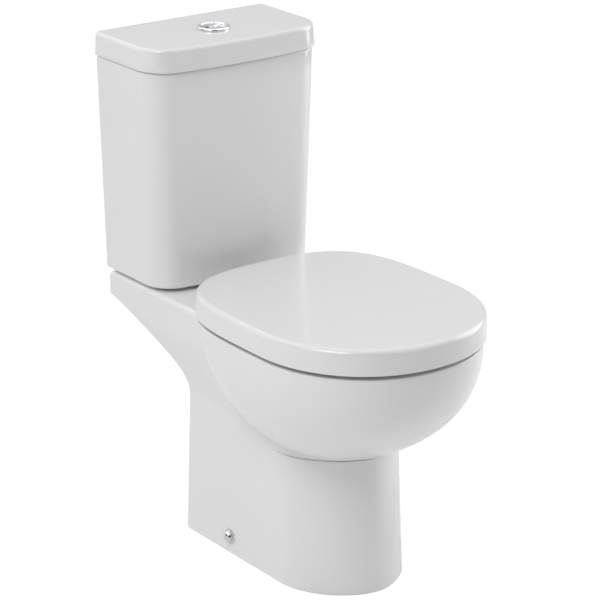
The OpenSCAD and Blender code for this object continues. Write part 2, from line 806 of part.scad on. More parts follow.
// Float that slides on the riser, with the rod that pushes the lever up
module fill_valve_float() {
    color(grey_plastic) at_fill() {
        difference() {
            translate([0, 0, float_top - float_h]) cylinder(r = float_r, h = float_h, $fn = fn_round);
            translate([0, 0, float_top - float_h - 1])
                cylinder(r = riser_r + slide_gap, h = float_h + 2, $fn = fn_round);
        }
        translate([0, rod_y, float_top - 1])
            cylinder(r = float_rod_r, h = lever_z - arm_t/2 - soft_gap - float_top + 1, $fn = fn_round);
    }
}

// ---- seat and cover ----

// Radius of the cover round the hinge axis, above its lugs
barrel_out = 17;
barrel_in = barrel_out - cover_t;
lug_r = barrel_in - 2.5;
axis_z = pan_h + cover_top - barrel_out;
cover_z0 = pan_h + cover_gap;
cover_z1 = pan_h + cover_top;
cover_edge_r = 9;
cover_back = 19.5;
cover_br = bowl_wide_d - hinge_d + cover_back;
block_w = 27;
side_gap = 0.5;
stud_head_r = 7.5;

module at_axis() {
    translate([0, wy(hinge_d), axis_z]) children();
}
// Cylinder along X on the hinge axis, from x0 to x1
module axle(r, x0, x1) {
    at_axis() translate([x0, 0, 0]) rotate([0, 90, 0]) cylinder(r = r, h = x1 - x0, $fn = fn_round);
}
front_n = 2.1;
rear_nx = 3;
rear_ny = 4.1;
// Outline of the cover, drawn in by t: an egg in front, fuller at its sides than across its rear edge
function cover_ring(t) = [
    for (i = [0:ring_n - 1])
        let (a = 360*i/ring_n, c = cos(a), s = sin(a),
             px = 2/(s > 0 ? rear_nx : front_n), py = 2/(s > 0 ? rear_ny : front_n))
        [(cover_w/2 - t)*sign(c)*pow(abs(c), px),
            bowl_yc + (s > 0 ? cover_br - t : t - (overall_d - bowl_wide_d))*pow(abs(s), py)]
];

block_x0 = hinge_span/2 - block_w/2;
block_x1 = hinge_span/2 + block_w/2;
cover_lug_t = 14;
seat_lug_t = 16;

// Space behind the hinge axis and outside a cylinder round it
module behind_axis(r) {
    difference() {
        at_axis() translate([-cover_w, 0, -60]) cube([2*cover_w, 60, 80]);
        axle(r, -cover_w - 1, cover_w + 1);
    }
}
module cover_body() {
    difference() {
        union() {
            difference() {
                loft(concat(
                    [lift(cover_ring(1), cover_z0), lift(cover_ring(0), cover_z0 + 1)],
                    [for (k = [0:4]) let (a = 22.5*k)
                        lift(cover_ring(cover_edge_r*(1 - cos(a))), cover_z1 - cover_edge_r*(1 - sin(a)))]
                ));
                difference() {
                    translate([0, 0, cover_z0 - 1]) linear_extrude(cover_top - cover_gap - cover_t + 1)
                        polygon(cover_ring(cover_t));
                    behind_axis(barrel_in);
                }
            }
            both_sides() axle(barrel_in + 1, block_x1 + side_gap, block_x1 + side_gap + cover_lug_t);
        }
        at_axis() translate([-cover_w, 0, -60]) cube([2*cover_w, 60, 60]);
        both_sides() at_axis() translate([block_x0 - side_gap, -1, -60])
            cube([block_w + 2*side_gap, 60, 60 + barrel_out - 2]);
    }
}
module seat_cover() {
    color(white_plastic) difference() {
        as_mesh() cover_body();
        both_sides() axle(pin_dia/2 + run_clear, block_x1 - 3, block_x1 + side_gap + cover_lug_t - 2);
    }
}

seat_z0 = pan_h + seat_gap;
seat_side = 8;
seat_hw = cover_w/2 - cover_t - seat_side;
seat_rear_b = bowl_wide_d - hinge_d - 28;
// Outline of the seat, drawn in by t
function seat_ring(t) =
    egg(seat_hw - t, bowl_yc, overall_d - bowl_wide_d - cover_t - seat_side - t, seat_rear_b - t, 2.1, 3.5);
function seat_hole(t) = egg(seat_hw - seat_ring_w + t, bowl_yc, overall_d - bowl_wide_d - 66 + t,
    bowl_wide_d - 334 + t, 2, 2.2);
module seat_body() {
    edge = 6;
    difference() {
        union() {
            loft(concat(
                [lift(seat_ring(2), seat_z0), lift(seat_ring(0), seat_z0 + 2)],
                [for (k = [0:3]) let (a = 30*k)
                    lift(seat_ring(edge*(1 - cos(a))), seat_z0 + seat_t - edge + edge*sin(a))]
            ));
            both_sides() translate([block_x0 - side_gap - seat_lug_t, wy(hinge_d + 60), seat_z0])
                cube([seat_lug_t, 54, seat_t - 3]);
            both_sides() axle(lug_r, block_x0 - side_gap - seat_lug_t, block_x0 - side_gap);
        }
        loft([
            lift(seat_hole(4), seat_z0 - 1), lift(seat_hole(0), seat_z0 + 3), lift(seat_hole(0), seat_z0 + 9),
            lift(seat_hole(3), seat_z0 + seat_t - 4), lift(seat_hole(9), seat_z0 + seat_t + eps)
        ]);
    }
}
module seat() {
    color(white_plastic) difference() {
        as_mesh() seat_body();
        both_sides() axle(pin_dia/2 + run_clear, block_x0 - side_gap - seat_lug_t + 2, block_x0 + 3);
    }
}

base_t = 8;
head_z = pan_h + base_t - 4;
// Block on the deck that holds the pin
module hinge_blocks() {
    arm_y = 7;
    color(white_plastic) both_sides() difference() {
        union() {
            axle(lug_r - 0.5, block_x0, block_x1);
            at_axis() translate([block_x0, -9, pan_h - axis_z]) cube([block_w, 9 + arm_y, axis_z - pan_h]);
            at_axis() translate([block_x0, -9, pan_h - axis_z]) cube([block_w, 9 + 38, base_t]);
        }
        axle(pin_dia/2 + fit_clear, block_x0 - 1, block_x1 + 1);
        translate([hinge_span/2, wy(stud_d), pan_h - 1])
            cylinder(r = stud_r + fit_clear, h = base_t, $fn = fn_round);
        translate([hinge_span/2, wy(stud_d), head_z])
            cylinder(r = stud_head_r + 0.3, h = 5, $fn = fn_round);
    }
}
module hinge_pins() {
    color(steel) both_sides()
        axle(pin_dia/2, block_x0 - side_gap - seat_lug_t + 3, block_x1 + side_gap + cover_lug_t - 3);
}
hinge_nut_top = pan_h - deck_t - 3;
module at_studs() {
    both_sides() translate([hinge_span/2, wy(stud_d), 0]) children();
}
module hinge_studs() {
    color(steel) at_studs() {
        translate([0, 0, head_z]) cylinder(r = stud_head_r, h = 3.5, $fn = fn_round);
        translate([0, 0, hinge_nut_top - 26])
            cylinder(r = stud_r, h = head_z - hinge_nut_top + 26, $fn = fn_round);
    }
}
module hinge_washers() {
    color(rubber) at_studs() tube(10, stud_r + fit_clear, hinge_nut_top, hinge_nut_top + 3);
}
module hinge_wing_nuts() {
    color(white_plastic) at_studs() rotate([0, 0, 90]) wing_nut(stud_r + fit_clear, 9, hinge_nut_top);
}

// Pads under the seat ring: two in front, two behind
seat_pad_x = seat_hw - seat_ring_w/2 - 2;
module seat_buffers() {
    color(white_plastic) for (s = [-1, 1]) {
        translate([s*seat_pad_x*0.72, wy(overall_d - 78), pan_h + soft_gap])
            cylinder(r = 9, h = seat_gap - soft_gap, $fn = fn_round);
        translate([s*seat_pad_x, wy(bowl_wide_d - 60), pan_h + soft_gap])
            cylinder(r = 9, h = seat_gap - soft_gap, $fn = fn_round);
    }
}
module cover_buffers() {
    pad_z = seat_z0 + seat_t + soft_gap;
    color(white_plastic) for (s = [-1, 1]) {
        translate([s*seat_pad_x*0.6, wy(overall_d - 52), pad_z])
            cylinder(r = 7, h = cover_z1 - cover_t - pad_z, $fn = fn_round);
        translate([s*seat_pad_x, wy(bowl_wide_d - 40), pad_z])
            cylinder(r = 7, h = cover_z1 - cover_t - pad_z, $fn = fn_round);
    }
}

// ---- floor fixing ----

side_r = 3;
bracket_w = 40;
bracket_h = 44;
bracket_foot = 34;
bracket_t = 6;
floor_hole_r = 3.5;
bracket_gap = 0.5;
module at_sides() {
    both_sides() translate([pedestal_w/2, wy(side_screw_d), 0]) children();
}
module floor_brackets() {
    x1 = -china_t - bracket_gap;
    color(white_plastic) at_sides() difference() {
        union() {
            translate([x1 - bracket_foot, -bracket_w/2, 0]) cube([bracket_foot, bracket_w, bracket_t]);
            translate([x1 - bracket_t - 6, -bracket_w/2, 0]) cube([bracket_t + 6, bracket_w, bracket_h]);
        }
        translate([x1 - bracket_foot + 10, 0, -1])
            cylinder(r = floor_hole_r, h = bracket_t + 2, $fn = fn_round);
        translate([x1 - bracket_t - 7, 0, side_screw_h]) rotate([0, 90, 0])
            cylinder(r = side_r + fit_clear, h = bracket_t + 8, $fn = fn_round);
    }
}
module side_screws() {
    color(steel) at_sides() translate([0, 0, side_screw_h]) rotate([0, 90, 0]) {
        translate([0, 0, -china_t - 14]) cylinder(r = side_r, h = china_t + 15.5, $fn = fn_round);
        translate([0, 0, 1.5]) cylinder(r = 6, h = 3.5, $fn = fn_round);
    }
}
module screw_cap_washers() {
    color(chrome) at_sides() translate([0, 0, side_screw_h]) rotate([0, 90, 0]) {
        tube(13, side_r + fit_clear, 0, 1.5);
    }
}
module screw_caps() {
    color(chrome) at_sides() translate([0, 0, side_screw_h]) rotate([0, 90, 0]) translate([0, 0, 1.5])
        difference() {
            rotate_extrude($fn = fn_round) polygon(concat(
                [[0, 0], [9.5, 0], [9.5, 2]],
                [for (a = [10:10:90]) [9.5*cos(a), 2 + 6.5*sin(a)]]
            ));
            translate([0, 0, -1]) cylinder(r = 6 + fit_clear, h = 4.5 + 1, $fn = fn_round);
        }
}

pan();
pan_rim();
pan_bowl();
pan_trap();
cistern();
cistern_lid();
button_bezel();
button_lock_nut();
full_flush_button();
half_flush_button();
full_flush_rod();
half_flush_rod();
full_button_spring();
half_button_spring();
full_flush_plunger();
half_flush_plunger();
flush_valve_base();
flush_valve_tower();
flush_valve_tube();
flush_valve_float();
flush_valve_seal();
flush_valve_gasket();
flush_valve_backnut();
coupling_gasket();
coupling_bolts();
coupling_seals();
coupling_washers();
coupling_wing_nuts();
fill_valve_shank();
fill_valve_seal();
fill_valve_backnut();
fill_valve_head();
fill_valve_lever();
fill_valve_lever_pin();
fill_valve_float();
seat();
seat_cover();
hinge_blocks();
hinge_pins();
hinge_studs();
hinge_washers();
hinge_wing_nuts();
seat_buffers();
cover_buffers();
floor_brackets();
side_screws();
screw_cap_washers();
screw_caps();
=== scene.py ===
# %% [markdown]
# # A close coupled toilet
#
# The construction is already fixed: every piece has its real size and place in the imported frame.
# This lesson dresses that frame. The clay pieces are skinned again as smooth lofts, the chrome gets
# its true curves, and every piece gets a finish that is worked out by nodes. Lengths are written in
# millimetres, as on a drawing, and become metres where a mesh is made.

# %% Load the frame
import json
import math
import bmesh
import bpy
import numpy as np
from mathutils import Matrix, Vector


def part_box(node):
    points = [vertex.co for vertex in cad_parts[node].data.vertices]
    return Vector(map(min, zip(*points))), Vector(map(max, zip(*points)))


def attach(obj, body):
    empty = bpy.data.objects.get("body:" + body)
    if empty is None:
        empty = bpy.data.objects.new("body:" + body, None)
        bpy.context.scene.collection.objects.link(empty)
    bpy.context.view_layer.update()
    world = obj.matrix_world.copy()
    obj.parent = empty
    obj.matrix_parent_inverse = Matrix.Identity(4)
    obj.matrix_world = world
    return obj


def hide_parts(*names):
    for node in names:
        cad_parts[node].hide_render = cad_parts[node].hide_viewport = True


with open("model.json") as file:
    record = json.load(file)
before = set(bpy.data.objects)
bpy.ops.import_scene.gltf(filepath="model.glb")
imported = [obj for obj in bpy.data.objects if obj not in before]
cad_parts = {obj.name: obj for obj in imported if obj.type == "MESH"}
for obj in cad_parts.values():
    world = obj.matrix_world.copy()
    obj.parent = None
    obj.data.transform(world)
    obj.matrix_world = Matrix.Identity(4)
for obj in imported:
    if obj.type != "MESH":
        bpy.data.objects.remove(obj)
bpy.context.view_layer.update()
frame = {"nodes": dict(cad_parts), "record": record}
nodes = frame["nodes"]
body_of = {n: b for b, members in frame["record"]["behaviour"]["bodies"].items() for n in members}
slot_of = {s["node"]: s["material_slot"] for s in frame["record"]["subparts"]}

# %% [markdown]
# ## The camera
#
# A product is shown through a long lens from a few metres away, so that its upright edges stay nearly
# parallel. The camera looks at a point inside the toilet from its left front, a little from above.

# %% Camera
def look_from(target, azimuth, elevation, distance):
    """Place and turning of a camera that looks at target from that side and height, in degrees."""
    a, e = math.radians(azimuth), math.radians(elevation)
    back = Vector((math.sin(a) * math.cos(e), -math.cos(a) * math.cos(e), math.sin(e)))
    return Vector(target) + back * distance, (math.pi / 2 - e, 0, a)


bpy.context.scene.view_settings.view_transform = "Standard"
camera = bpy.data.objects.new("camera", bpy.data.cameras.new("camera"))
camera.data.sensor_width = 36
camera.data.lens = 159.2
aim_point, from_left, from_above, lens_distance = (0.0067, 0.0204, 0.4011), -36.18, 19.75, 4.0
camera.location, camera.rotation_euler = look_from(aim_point, from_left, from_above, lens_distance)
bpy.context.scene.collection.objects.link(camera)
bpy.context.scene.camera = camera
print("camera at", [round(v, 3) for v in camera.location])

# %% [markdown]
# ## Driving sizes
#
# Everything below is placed from the frame: the wall plane, the rim, the lid and the hinge axis are
# read from the pieces themselves. Only the shape rules that no box can tell are written as numbers.

# %% Sizes read from the frame
def mm_box(node):
    low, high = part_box(node)
    return np.array(low) * 1000, np.array(high) * 1000


wall_y = mm_box("cistern")[1][1]
pan_low, pan_high = mm_box("pan_rim")
rim_z = pan_high[2]
tank_low, tank_high = mm_box("cistern")
lid_low, lid_high = mm_box("cistern_lid")
bezel_low, bezel_high = mm_box("button_bezel")
cover_low, cover_high = mm_box("seat_cover")
seat_low, seat_high = mm_box("seat")
pin_low, pin_high = mm_box("hinge_pins")
axis_y, axis_z = (pin_low[1] + pin_high[1]) / 2, (pin_low[2] + pin_high[2]) / 2
valve_y = (bezel_low[1] + bezel_high[1]) / 2
bezel_r = (bezel_high[0] - bezel_low[0]) / 2
print("rim", rim_z, "lid", lid_high[2], "hinge axis", axis_y, axis_z)


def deep(depth):
    """Y of a place at that depth in front of the wall plane."""
    return wall_y - depth


# %% [markdown]
# ## Meshes from rings
#
# A slip-cast or moulded wall is a stack of outlines that change slowly, so it is lofted: each outline
# is one ring of points, and neighbouring rings are joined by quads. Rings are made with arrays, which
# keeps the rule of each outline in one line.

# %% Loft and outlines
def place_mesh(name, points, faces, smooth_angle=35):
    """A new object whose mesh holds these points, in millimetres."""
    mesh = bpy.data.meshes.new(name)
    mesh.from_pydata((np.asarray(points) * 0.001).tolist(), [], faces)
    mesh.validate()
    piece = bpy.data.objects.new(name, mesh)
    bpy.context.scene.collection.objects.link(piece)
    soften(piece, smooth_angle)
    return piece


def soften(piece, angle):
    """Smooth shading, with a crease where two faces meet at more than that angle."""
    mesh = piece.data
    mesh.shade_smooth()
    mesh.set_sharp_from_angle(angle=math.radians(angle))


def loft(name, rings):
    """A closed skin through rings of equal length, each turning left about the way up."""
    rings = [np.asarray(r, float) for r in rings]
    n, m = len(rings[0]), len(rings)
    faces = [(j * n + i, j * n + (i + 1) % n, (j + 1) * n + (i + 1) % n, (j + 1) * n + i)
             for j in range(m - 1) for i in range(n)]
    faces += [tuple(range(n - 1, -1, -1)), tuple((m - 1) * n + i for i in range(n))]
    return place_mesh(name, np.vstack(rings), faces)


def at_height(outline, z):
    return np.column_stack([outline, np.full(len(outline), z)])


def arc(cx, cy, r, start, end, count):
    a = np.radians(np.linspace(start, end, count))
    return np.column_stack([cx + r * np.cos(a), cy + r * np.sin(a)])


def egg(half, middle_y, front, rear, front_power, rear_power, count=240):
    """Outline with one power curve in front of its widest place and another behind it."""
    t = 2 * np.pi * np.arange(count) / count
    c, s = np.cos(t), np.sin(t)
    b = np.where(s > 0, rear, front)
    p = np.where(s > 0, rear_power, front_power)
    r = ((np.abs(c) / half) ** p + (np.abs(s) / b) ** p) ** (-1 / p)
    return np.column_stack([r * c, middle_y + r * s])


def ease(t):
    t = np.clip(t, 0, 1)
    return t * t * (3 - 2 * t)


# %% [markdown]
# ## Cutting and joining
#
# The hollows of the clay are cut with booleans. The manifold solver is quick and keeps every wall
# closed, and the helpers leave nothing behind but the finished mesh.

# %% Boolean helper
def combine(piece, tools, operation):
    """Cuts tools from piece, or joins them to it, one after the other, and removes them."""
    for tool in tools:
        modifier = piece.modifiers.new(operation, "BOOLEAN")
        modifier.operation = operation
        modifier.solver = "MANIFOLD"
        modifier.material_mode = "TRANSFER"
        modifier.object = tool
    bake(piece)
    for tool in tools:
        bpy.data.objects.remove(tool)
    return piece


def bake(piece):
    """Turns the piece with its modifiers into a plain mesh."""
    bpy.context.view_layer.update()
    graph = bpy.context.evaluated_depsgraph_get()
    mesh = bpy.data.meshes.new_from_object(piece.evaluated_get(graph))
    piece.modifiers.clear()
    old, piece.data = piece.data, mesh
    bpy.data.meshes.remove(old)
    return piece


def cylinder(name, start, end, r, count=96):
    """Closed round bar between two points."""
    start, end = Vector(start), Vector(end)
    turn = (end - start).to_track_quat("Z", "Y").to_matrix()
    ring = [turn @ Vector((r * math.cos(2 * math.pi * k / count), r * math.sin(2 * math.pi * k / count), 0))
            for k in range(count)]
    return loft(name, [[start + p for p in ring], [end + p for p in ring]])


def upright_bar(name, x, y, z0, z1, r, count=96):
    return cylinder(name, (x, y, z0), (x, y, z1), r, count)


def block(name, low, high):
    x0, y0, z0 = low
    x1, y1, z1 = high
    ring = np.array([[x1, y0], [x1, y1], [x0, y1], [x0, y0]])
    return loft(name, [at_height(ring, z0), at_height(ring, z1)])


print("helpers ready")


# %% [markdown]
# ## Round pieces
#
# Chrome trim is turned or pressed round, so it is drawn as half a section and swung about its axis. A
# section that starts and ends on the axis closes in a single point there; one that stays clear of the
# axis is a ring, and its last point is joined to its first.

# %% Turned pieces
def upright(x, y):
    """Axis along +Z through that place."""
    return lambda p: (x + p[0], y + p[1], p[2])


def sideways(side, x, y, z):
    """Axis along +X or -X, away from the middle."""
    return lambda p: (side * (x + p[2]), y + side * p[0], z + p[1])


def turned(name, section, place, count=96, smooth_angle=35):
    """Swings a section of (radius, height) points, given from the bottom up the outside."""
    ring = 2 * np.pi * np.arange(count) / count
    points, rows, faces = [], [], []
    for r, h in section:
        if r == 0:
            rows.append([len(points)] * count)
            points.append((0, 0, h))
        else:
            rows.append(list(range(len(points), len(points) + count)))
            points += [(r * math.cos(a), r * math.sin(a), h) for a in ring]
    hollow = section[0][0] > 0
    pairs = list(zip(rows, rows[1:] + rows[:1])) if hollow else list(zip(rows, rows[1:]))
    for low, high in pairs:
        for i in range(count):
            k = (i + 1) % count
            corners = [low[i], low[k], high[k], high[i]]
            faces.append([v for n, v in enumerate(corners) if v != corners[n - 1]])
    return place_mesh(name, [place(p) for p in points], faces, smooth_angle)


def rounded(cx, cz, r, start, end, count=7):
    """Points of a rounded corner in a section."""
    return [tuple(p) for p in arc(cx, cz, r, start, end, count)]


print("turned pieces ready")

# %% [markdown]
# ## Nodes written as sums
#
# A shader is easier to read as a formula than as a web of boxes. A Wire stands for one output of a
# node; adding, multiplying or subtracting wires adds the Math nodes. Every other node comes from one
# method of Graph, which takes the node's type, its settings and what goes into its sockets.

# %% Graph and wires
class Wire:
    """One output of a node. Arithmetic on it adds Math nodes."""

    def __init__(self, graph, socket):
        self.graph, self.socket = graph, socket

    def math(self, operation, *values):
        return self.graph.node("ShaderNodeMath", {"operation": operation}, dict(enumerate(values)))

    def __add__(self, other):
        return self.math("ADD", self, other)

    def __radd__(self, other):
        return self.math("ADD", other, self)

    def __sub__(self, other):
        return self.math("SUBTRACT", self, other)

    def __rsub__(self, other):
        return self.math("SUBTRACT", other, self)

    def __mul__(self, other):
        return self.math("MULTIPLY", self, other)

    def __rmul__(self, other):
        return self.math("MULTIPLY", other, self)

    def __truediv__(self, other):
        return self.math("DIVIDE", self, other)

    def __rtruediv__(self, other):
        return self.math("DIVIDE", other, self)

    def __pow__(self, other):
        return self.math("POWER", self, other)

    def least(self, other):
        return self.math("MINIMUM", self, other)

    def most(self, other):
        return self.math("MAXIMUM", self, other)

    def part(self, axis):
        """X, Y or Z of a vector."""
        return self.graph.node("ShaderNodeSeparateXYZ", {}, {0: self}, axis)


class Graph:
    """A node tree and the one method that adds to it."""

    def __init__(self, tree):
        self.tree = tree

    def node(self, kind, settings=None, values=None, output=0):
        node = self.tree.nodes.new(kind)
        for key, value in (settings or {}).items():
            if key == "stops":
                self.set_stops(node.color_ramp.elements, value)
            else:
                setattr(node, key, value)
        for key, value in (values or {}).items():
            if isinstance(value, Wire):
                self.tree.links.new(value.socket, node.inputs[key])
            else:
                node.inputs[key].default_value = value
        return Wire(self, node.outputs[output]) if len(node.outputs) else node

    def set_stops(self, elements, stops):
        for extra in range(len(stops) - 2):
            elements.new(0.5)
        for element, (place, grey) in zip(elements, stops):
            element.position, element.color = place, (grey, grey, grey, 1)

    def colours(self, factor, a, b):
        """Mix of two colours."""
        return self.node("ShaderNodeMix", {"data_type": "RGBA"}, {0: factor, 6: a, 7: b}, 2)

    def noise(self, where, scale, detail=2.0):
        return self.node("ShaderNodeTexNoise", {}, {"Vector": where, "Scale": scale, "Detail": detail})


print("graph ready")

# %% [markdown]
# ## Finishes
#
# Each finish is one Principled shader. What is the same all over is set on its sockets; only colour,
# roughness and the bump of the surface change from place to place, and they read Object coordinates,
# in metres, so a pattern keeps its real size on every piece.

# %% A finish and its bump
def new_finish(name, constants):
    """A material with one Principled shader; returns it, its graph, the shader and its coordinates."""
    finish = bpy.data.materials.new(name)
    finish.use_nodes = True
    graph = Graph(finish.node_tree)
    shader = finish.node_tree.nodes["Principled BSDF"]
    for key, value in constants.items():
        shader.inputs[key].default_value = value
    where = graph.node("ShaderNodeTexCoord", output="Object")
    return finish, graph, shader, where


def feed(graph, shader, wires):
    for key, wire in wires.items():
        graph.tree.links.new(wire.socket, shader.inputs[key])


def bump(graph, height, depth, below=None):
    """Normal of a relief whose height 1 is that deep, in metres."""
    values = {"Height": height, "Distance": depth, "Strength": 1.0}
    if below:
        values["Normal"] = below
    return graph.node("ShaderNodeBump", {}, values)


# %% [markdown]
# ### Glazed china
#
# The clay is dipped or sprayed with a white tin glaze and fired. The glaze levels itself almost like
# water: it is very smooth, yet it keeps a slow waviness that bends long reflections, and its white is
# a touch warmer where it lies thicker. Two slow noises do that; a third, fine one is its orange peel.

# %% Glaze and bare clay
def make_glaze():
    finish, graph, shader, where = new_finish(
        "china_glaze", {"IOR": 1.5, "Coat Weight": 0.35, "Coat Roughness": 0.04})
    thick = graph.noise(where, 5.0)
    waves = graph.noise(where, 14.0, 1.0)
    peel = graph.noise(where, 420.0, 2.0)
    tone = graph.colours(thick, (0.805, 0.806, 0.803, 1), (0.825, 0.827, 0.826, 1))
    relief = bump(graph, peel, 0.000004, bump(graph, waves, 0.00022))
    feed(graph, shader, {"Base Color": tone, "Roughness": 0.1 + 0.05 * thick, "Normal": relief})
    return finish


def make_bare_clay():
    finish, graph, shader, where = new_finish("bare_clay", {"IOR": 1.45})
    grain = graph.noise(where, 900.0, 4.0)
    cloud = graph.noise(where, 18.0, 3.0)
    tone = graph.colours(cloud, (0.66, 0.65, 0.62, 1), (0.74, 0.73, 0.71, 1))
    feed(graph, shader, {"Base Color": tone, "Roughness": 0.72 + 0.15 * grain,
                         "Normal": bump(graph, grain, 0.00012)})
    return finish


glaze, bare_clay = make_glaze(), make_bare_clay()
print(glaze.name, bare_clay.name)

# %% [markdown]
# ### Moulded plastics
#
# The seat and its cover are pressed from a hard white resin with a polished skin. The valves inside the
# cistern are plain moulded plastic: the mould was spark eroded, so their skin has a fine dull grain.
# One function makes them all, with the grain, the gloss and the colour as its values.

# %% Plastics and rubber
def make_plastic(name, colour, roughness, grain_depth, coat=0.0):
    finish, graph, shader, where = new_finish(
        name, {"IOR": 1.48, "Coat Weight": coat, "Coat Roughness": 0.06})
    flow = graph.noise(where, 9.0, 1.0)
    grain = graph.noise(where, 1400.0, 3.0)
    dark = tuple(0.975 * c for c in colour)
    relief = bump(graph, grain, grain_depth, bump(graph, flow, 0.00012))
    feed(graph, shader, {"Base Color": graph.colours(flow, (*dark, 1), (*colour, 1)),
                         "Roughness": roughness + 0.06 * grain, "Normal": relief})
    return finish


finishes = {
    "glazed_china": glaze,
    "seat_white": make_plastic("seat_resin", (0.815, 0.818, 0.812), 0.16, 0.000003, 0.25),
    "white_plastic": make_plastic("white_moulding", (0.78, 0.78, 0.76), 0.38, 0.00003),
    "grey_plastic": make_plastic("grey_moulding", (0.30, 0.32, 0.35), 0.42, 0.00003),
    "blue_plastic": make_plastic("blue_moulding", (0.09, 0.22, 0.46), 0.36, 0.00003),
    "rubber": make_plastic("black_rubber", (0.028, 0.028, 0.03), 0.68, 0.00006),
}
print("plastics", [n for n in finishes])

# %% [markdown]
# ### Metals
#
# Chrome plate is a mirror with the faintest haze from cleaning cloths. Steel screws and springs are
# drawn wire, with fine streaks along X; brass is turned and slowly tarnishes in patches. Streaks are a
# noise whose coordinates are stretched by a Mapping node.

# %% Chrome, steel and brass
def make_metal(name, bright, dull, roughness, spread, stretch, depth):
    finish, graph, shader, where = new_finish(name, {"Metallic": 1.0})
    along = graph.node("ShaderNodeMapping", {}, {"Vector": where, "Scale": stretch})
    streak = graph.noise(along, 900.0, 3.0)
    patch = graph.noise(where, 60.0, 3.0)
    feed(graph, shader, {"Base Color": graph.colours(patch, (*bright, 1), (*dull, 1)),
                         "Roughness": roughness + spread * (0.6 * streak + 0.4 * patch),
                         "Normal": bump(graph, streak, depth)})
    return finish


finishes["chrome"] = make_metal(
    "chrome_plate", (0.70, 0.71, 0.73), (0.66, 0.67, 0.69), 0.035, 0.05, (1, 1, 1), 0.0000008)
finishes["steel"] = make_metal(
    "drawn_steel", (0.60, 0.61, 0.63), (0.52, 0.53, 0.55), 0.26, 0.16, (0.08, 1, 1), 0.00001)
finishes["brass"] = make_metal(
    "turned_brass", (0.76, 0.56, 0.25), (0.58, 0.42, 0.19), 0.28, 0.2, (1, 1, 0.15), 0.00001)
print("metals", finishes["chrome"].name, finishes["steel"].name, finishes["brass"].name)

# %% [markdown]
# ## The studio
#
# White sanitary ware on white needs light that is soft but not equal from all sides, or its shape
# disappears. The surroundings glow, more from the left and from above and much less from the front, and
# three soft lamps stand in them: a key on the left, a wide fill on the right and a small one overhead
# that draws a bright line along the rounded edges. Rays from the camera see plain white instead of the
# glow. Rays that come off shiny surfaces see a paler glow that is brighter overhead, with three dark
# cards in it, of which the front one has a bright slit: without something dark to reflect, polished
# chrome looks like paper.

# %% World and lamps
world = bpy.data.worlds.new("studio")
bpy.context.scene.world = world
world.use_nodes = True
world.node_tree.nodes.clear()
air = Graph(world.node_tree)
direction = air.node("ShaderNodeTexCoord", output="Generated")
left, up, front = 0 - direction.part("X"), direction.part("Z"), 0 - direction.part("Y")
glow = 0.48 + 0.14 * left + 0.06 * up.most(0) - 0.43 * front
seen = air.node("ShaderNodeLightPath", output="Is Camera Ray")
shiny = air.node("ShaderNodeLightPath", output="Is Glossy Ray")
through = air.node("ShaderNodeLightPath", output="Is Transmission Ray")
overhead = ((up - 0.45) * 6).most(0).least(1)


def toward(x, y, z, inner, outer):
    """1 within the inner angle of that direction, in degrees, falling to 0 at the outer one."""
    size = math.sqrt(x * x + y * y + z * z)
    along = (-x / size) * left + (-y / size) * front + (z / size) * up
    near, far = math.cos(math.radians(inner)), math.cos(math.radians(outer))
    return ((along - far) * (1 / (near - far))).most(0).least(1)


aside = 0.85 * front - 0.53 * left
slit = 1 - (aside.math("ABSOLUTE", aside) * 9).least(1)
front_card = toward(-0.56, -0.72, 0.40, 32, 42) * (1 - 0.85 * slit)
cards = front_card + toward(-0.90, 0.44, 0.40, 14, 20)
cards = (cards + 0.3 * toward(0.59, 0.81, 0.36, 18, 40)).least(1)
mirrored = (0.4 * glow + 0.66) * (1 + 1.2 * overhead) * (1 - 0.93 * cards)
seen_glow = glow + (mirrored - glow) * shiny
light = air.node("ShaderNodeBackground", {}, {"Color": (1, 1, 1, 1), "Strength": seen_glow})
white = air.node("ShaderNodeBackground", {}, {"Color": (1, 1, 1, 1), "Strength": 1.0})
both = air.node("ShaderNodeMixShader", {}, {0: (seen + through).least(1), 1: light, 2: white})
air.node("ShaderNodeOutputWorld", {}, {"Surface": both})


def soft_lamp(name, place, target, size, power):
    lamp = bpy.data.lights.new(name, "AREA")
    lamp.shape, lamp.size, lamp.energy = "DISK", size, power
    holder = bpy.data.objects.new(name, lamp)
    holder.location = place
    holder.rotation_euler = (Vector(target) - Vector(place)).to_track_quat("-Z", "Y").to_euler()
    bpy.context.scene.collection.objects.link(holder)


soft_lamp("key_lamp", (-2.0, -0.8, 2.9), (0, 0, 0.4), 1.6, 36)
soft_lamp("fill_lamp", (2.7, -0.6, 1.3), (0, 0, 0.4), 2.4, 44)
soft_lamp("top_lamp", (-0.4, -0.9, 3.2), (0, 0, 0.4), 0.4, 1.5)
print("studio lit")

# %% [markdown]
# ### The floor
#
# The floor is one large pale sheet. Seen by the camera it is nearly all white of its own, with a small
# share of real reflected light, so only the soft shadow round the foot remains of the shading.

# %% Floor
floor_half, floor_thick, floor_gap = 6000, 20, 0.2
floor = block("floor", (-floor_half, -floor_half, -floor_thick), (floor_half, floor_half, -floor_gap))
floor_finish = bpy.data.materials.new("pale_floor")
floor_finish.use_nodes = True
floor_finish.node_tree.nodes.clear()
ground = Graph(floor_finish.node_tree)
matt = ground.node("ShaderNodeBsdfDiffuse", {}, {"Color": (0.95, 0.95, 0.95, 1)})
own_white = ground.node("ShaderNodeEmission", {}, {"Color": (1, 1, 1, 1), "Strength": 1.17})
seen = ground.node("ShaderNodeLightPath", output="Is Camera Ray")
white_share = 0.74 * seen
sheet = ground.node("ShaderNodeMixShader", {}, {0: white_share, 1: matt, 2: own_white})
ground.node("ShaderNodeOutputMaterial", {}, {"Surface": sheet})
floor.data.materials.append(floor_finish)
print("floor", floor_half * 2 / 1000, "m square")

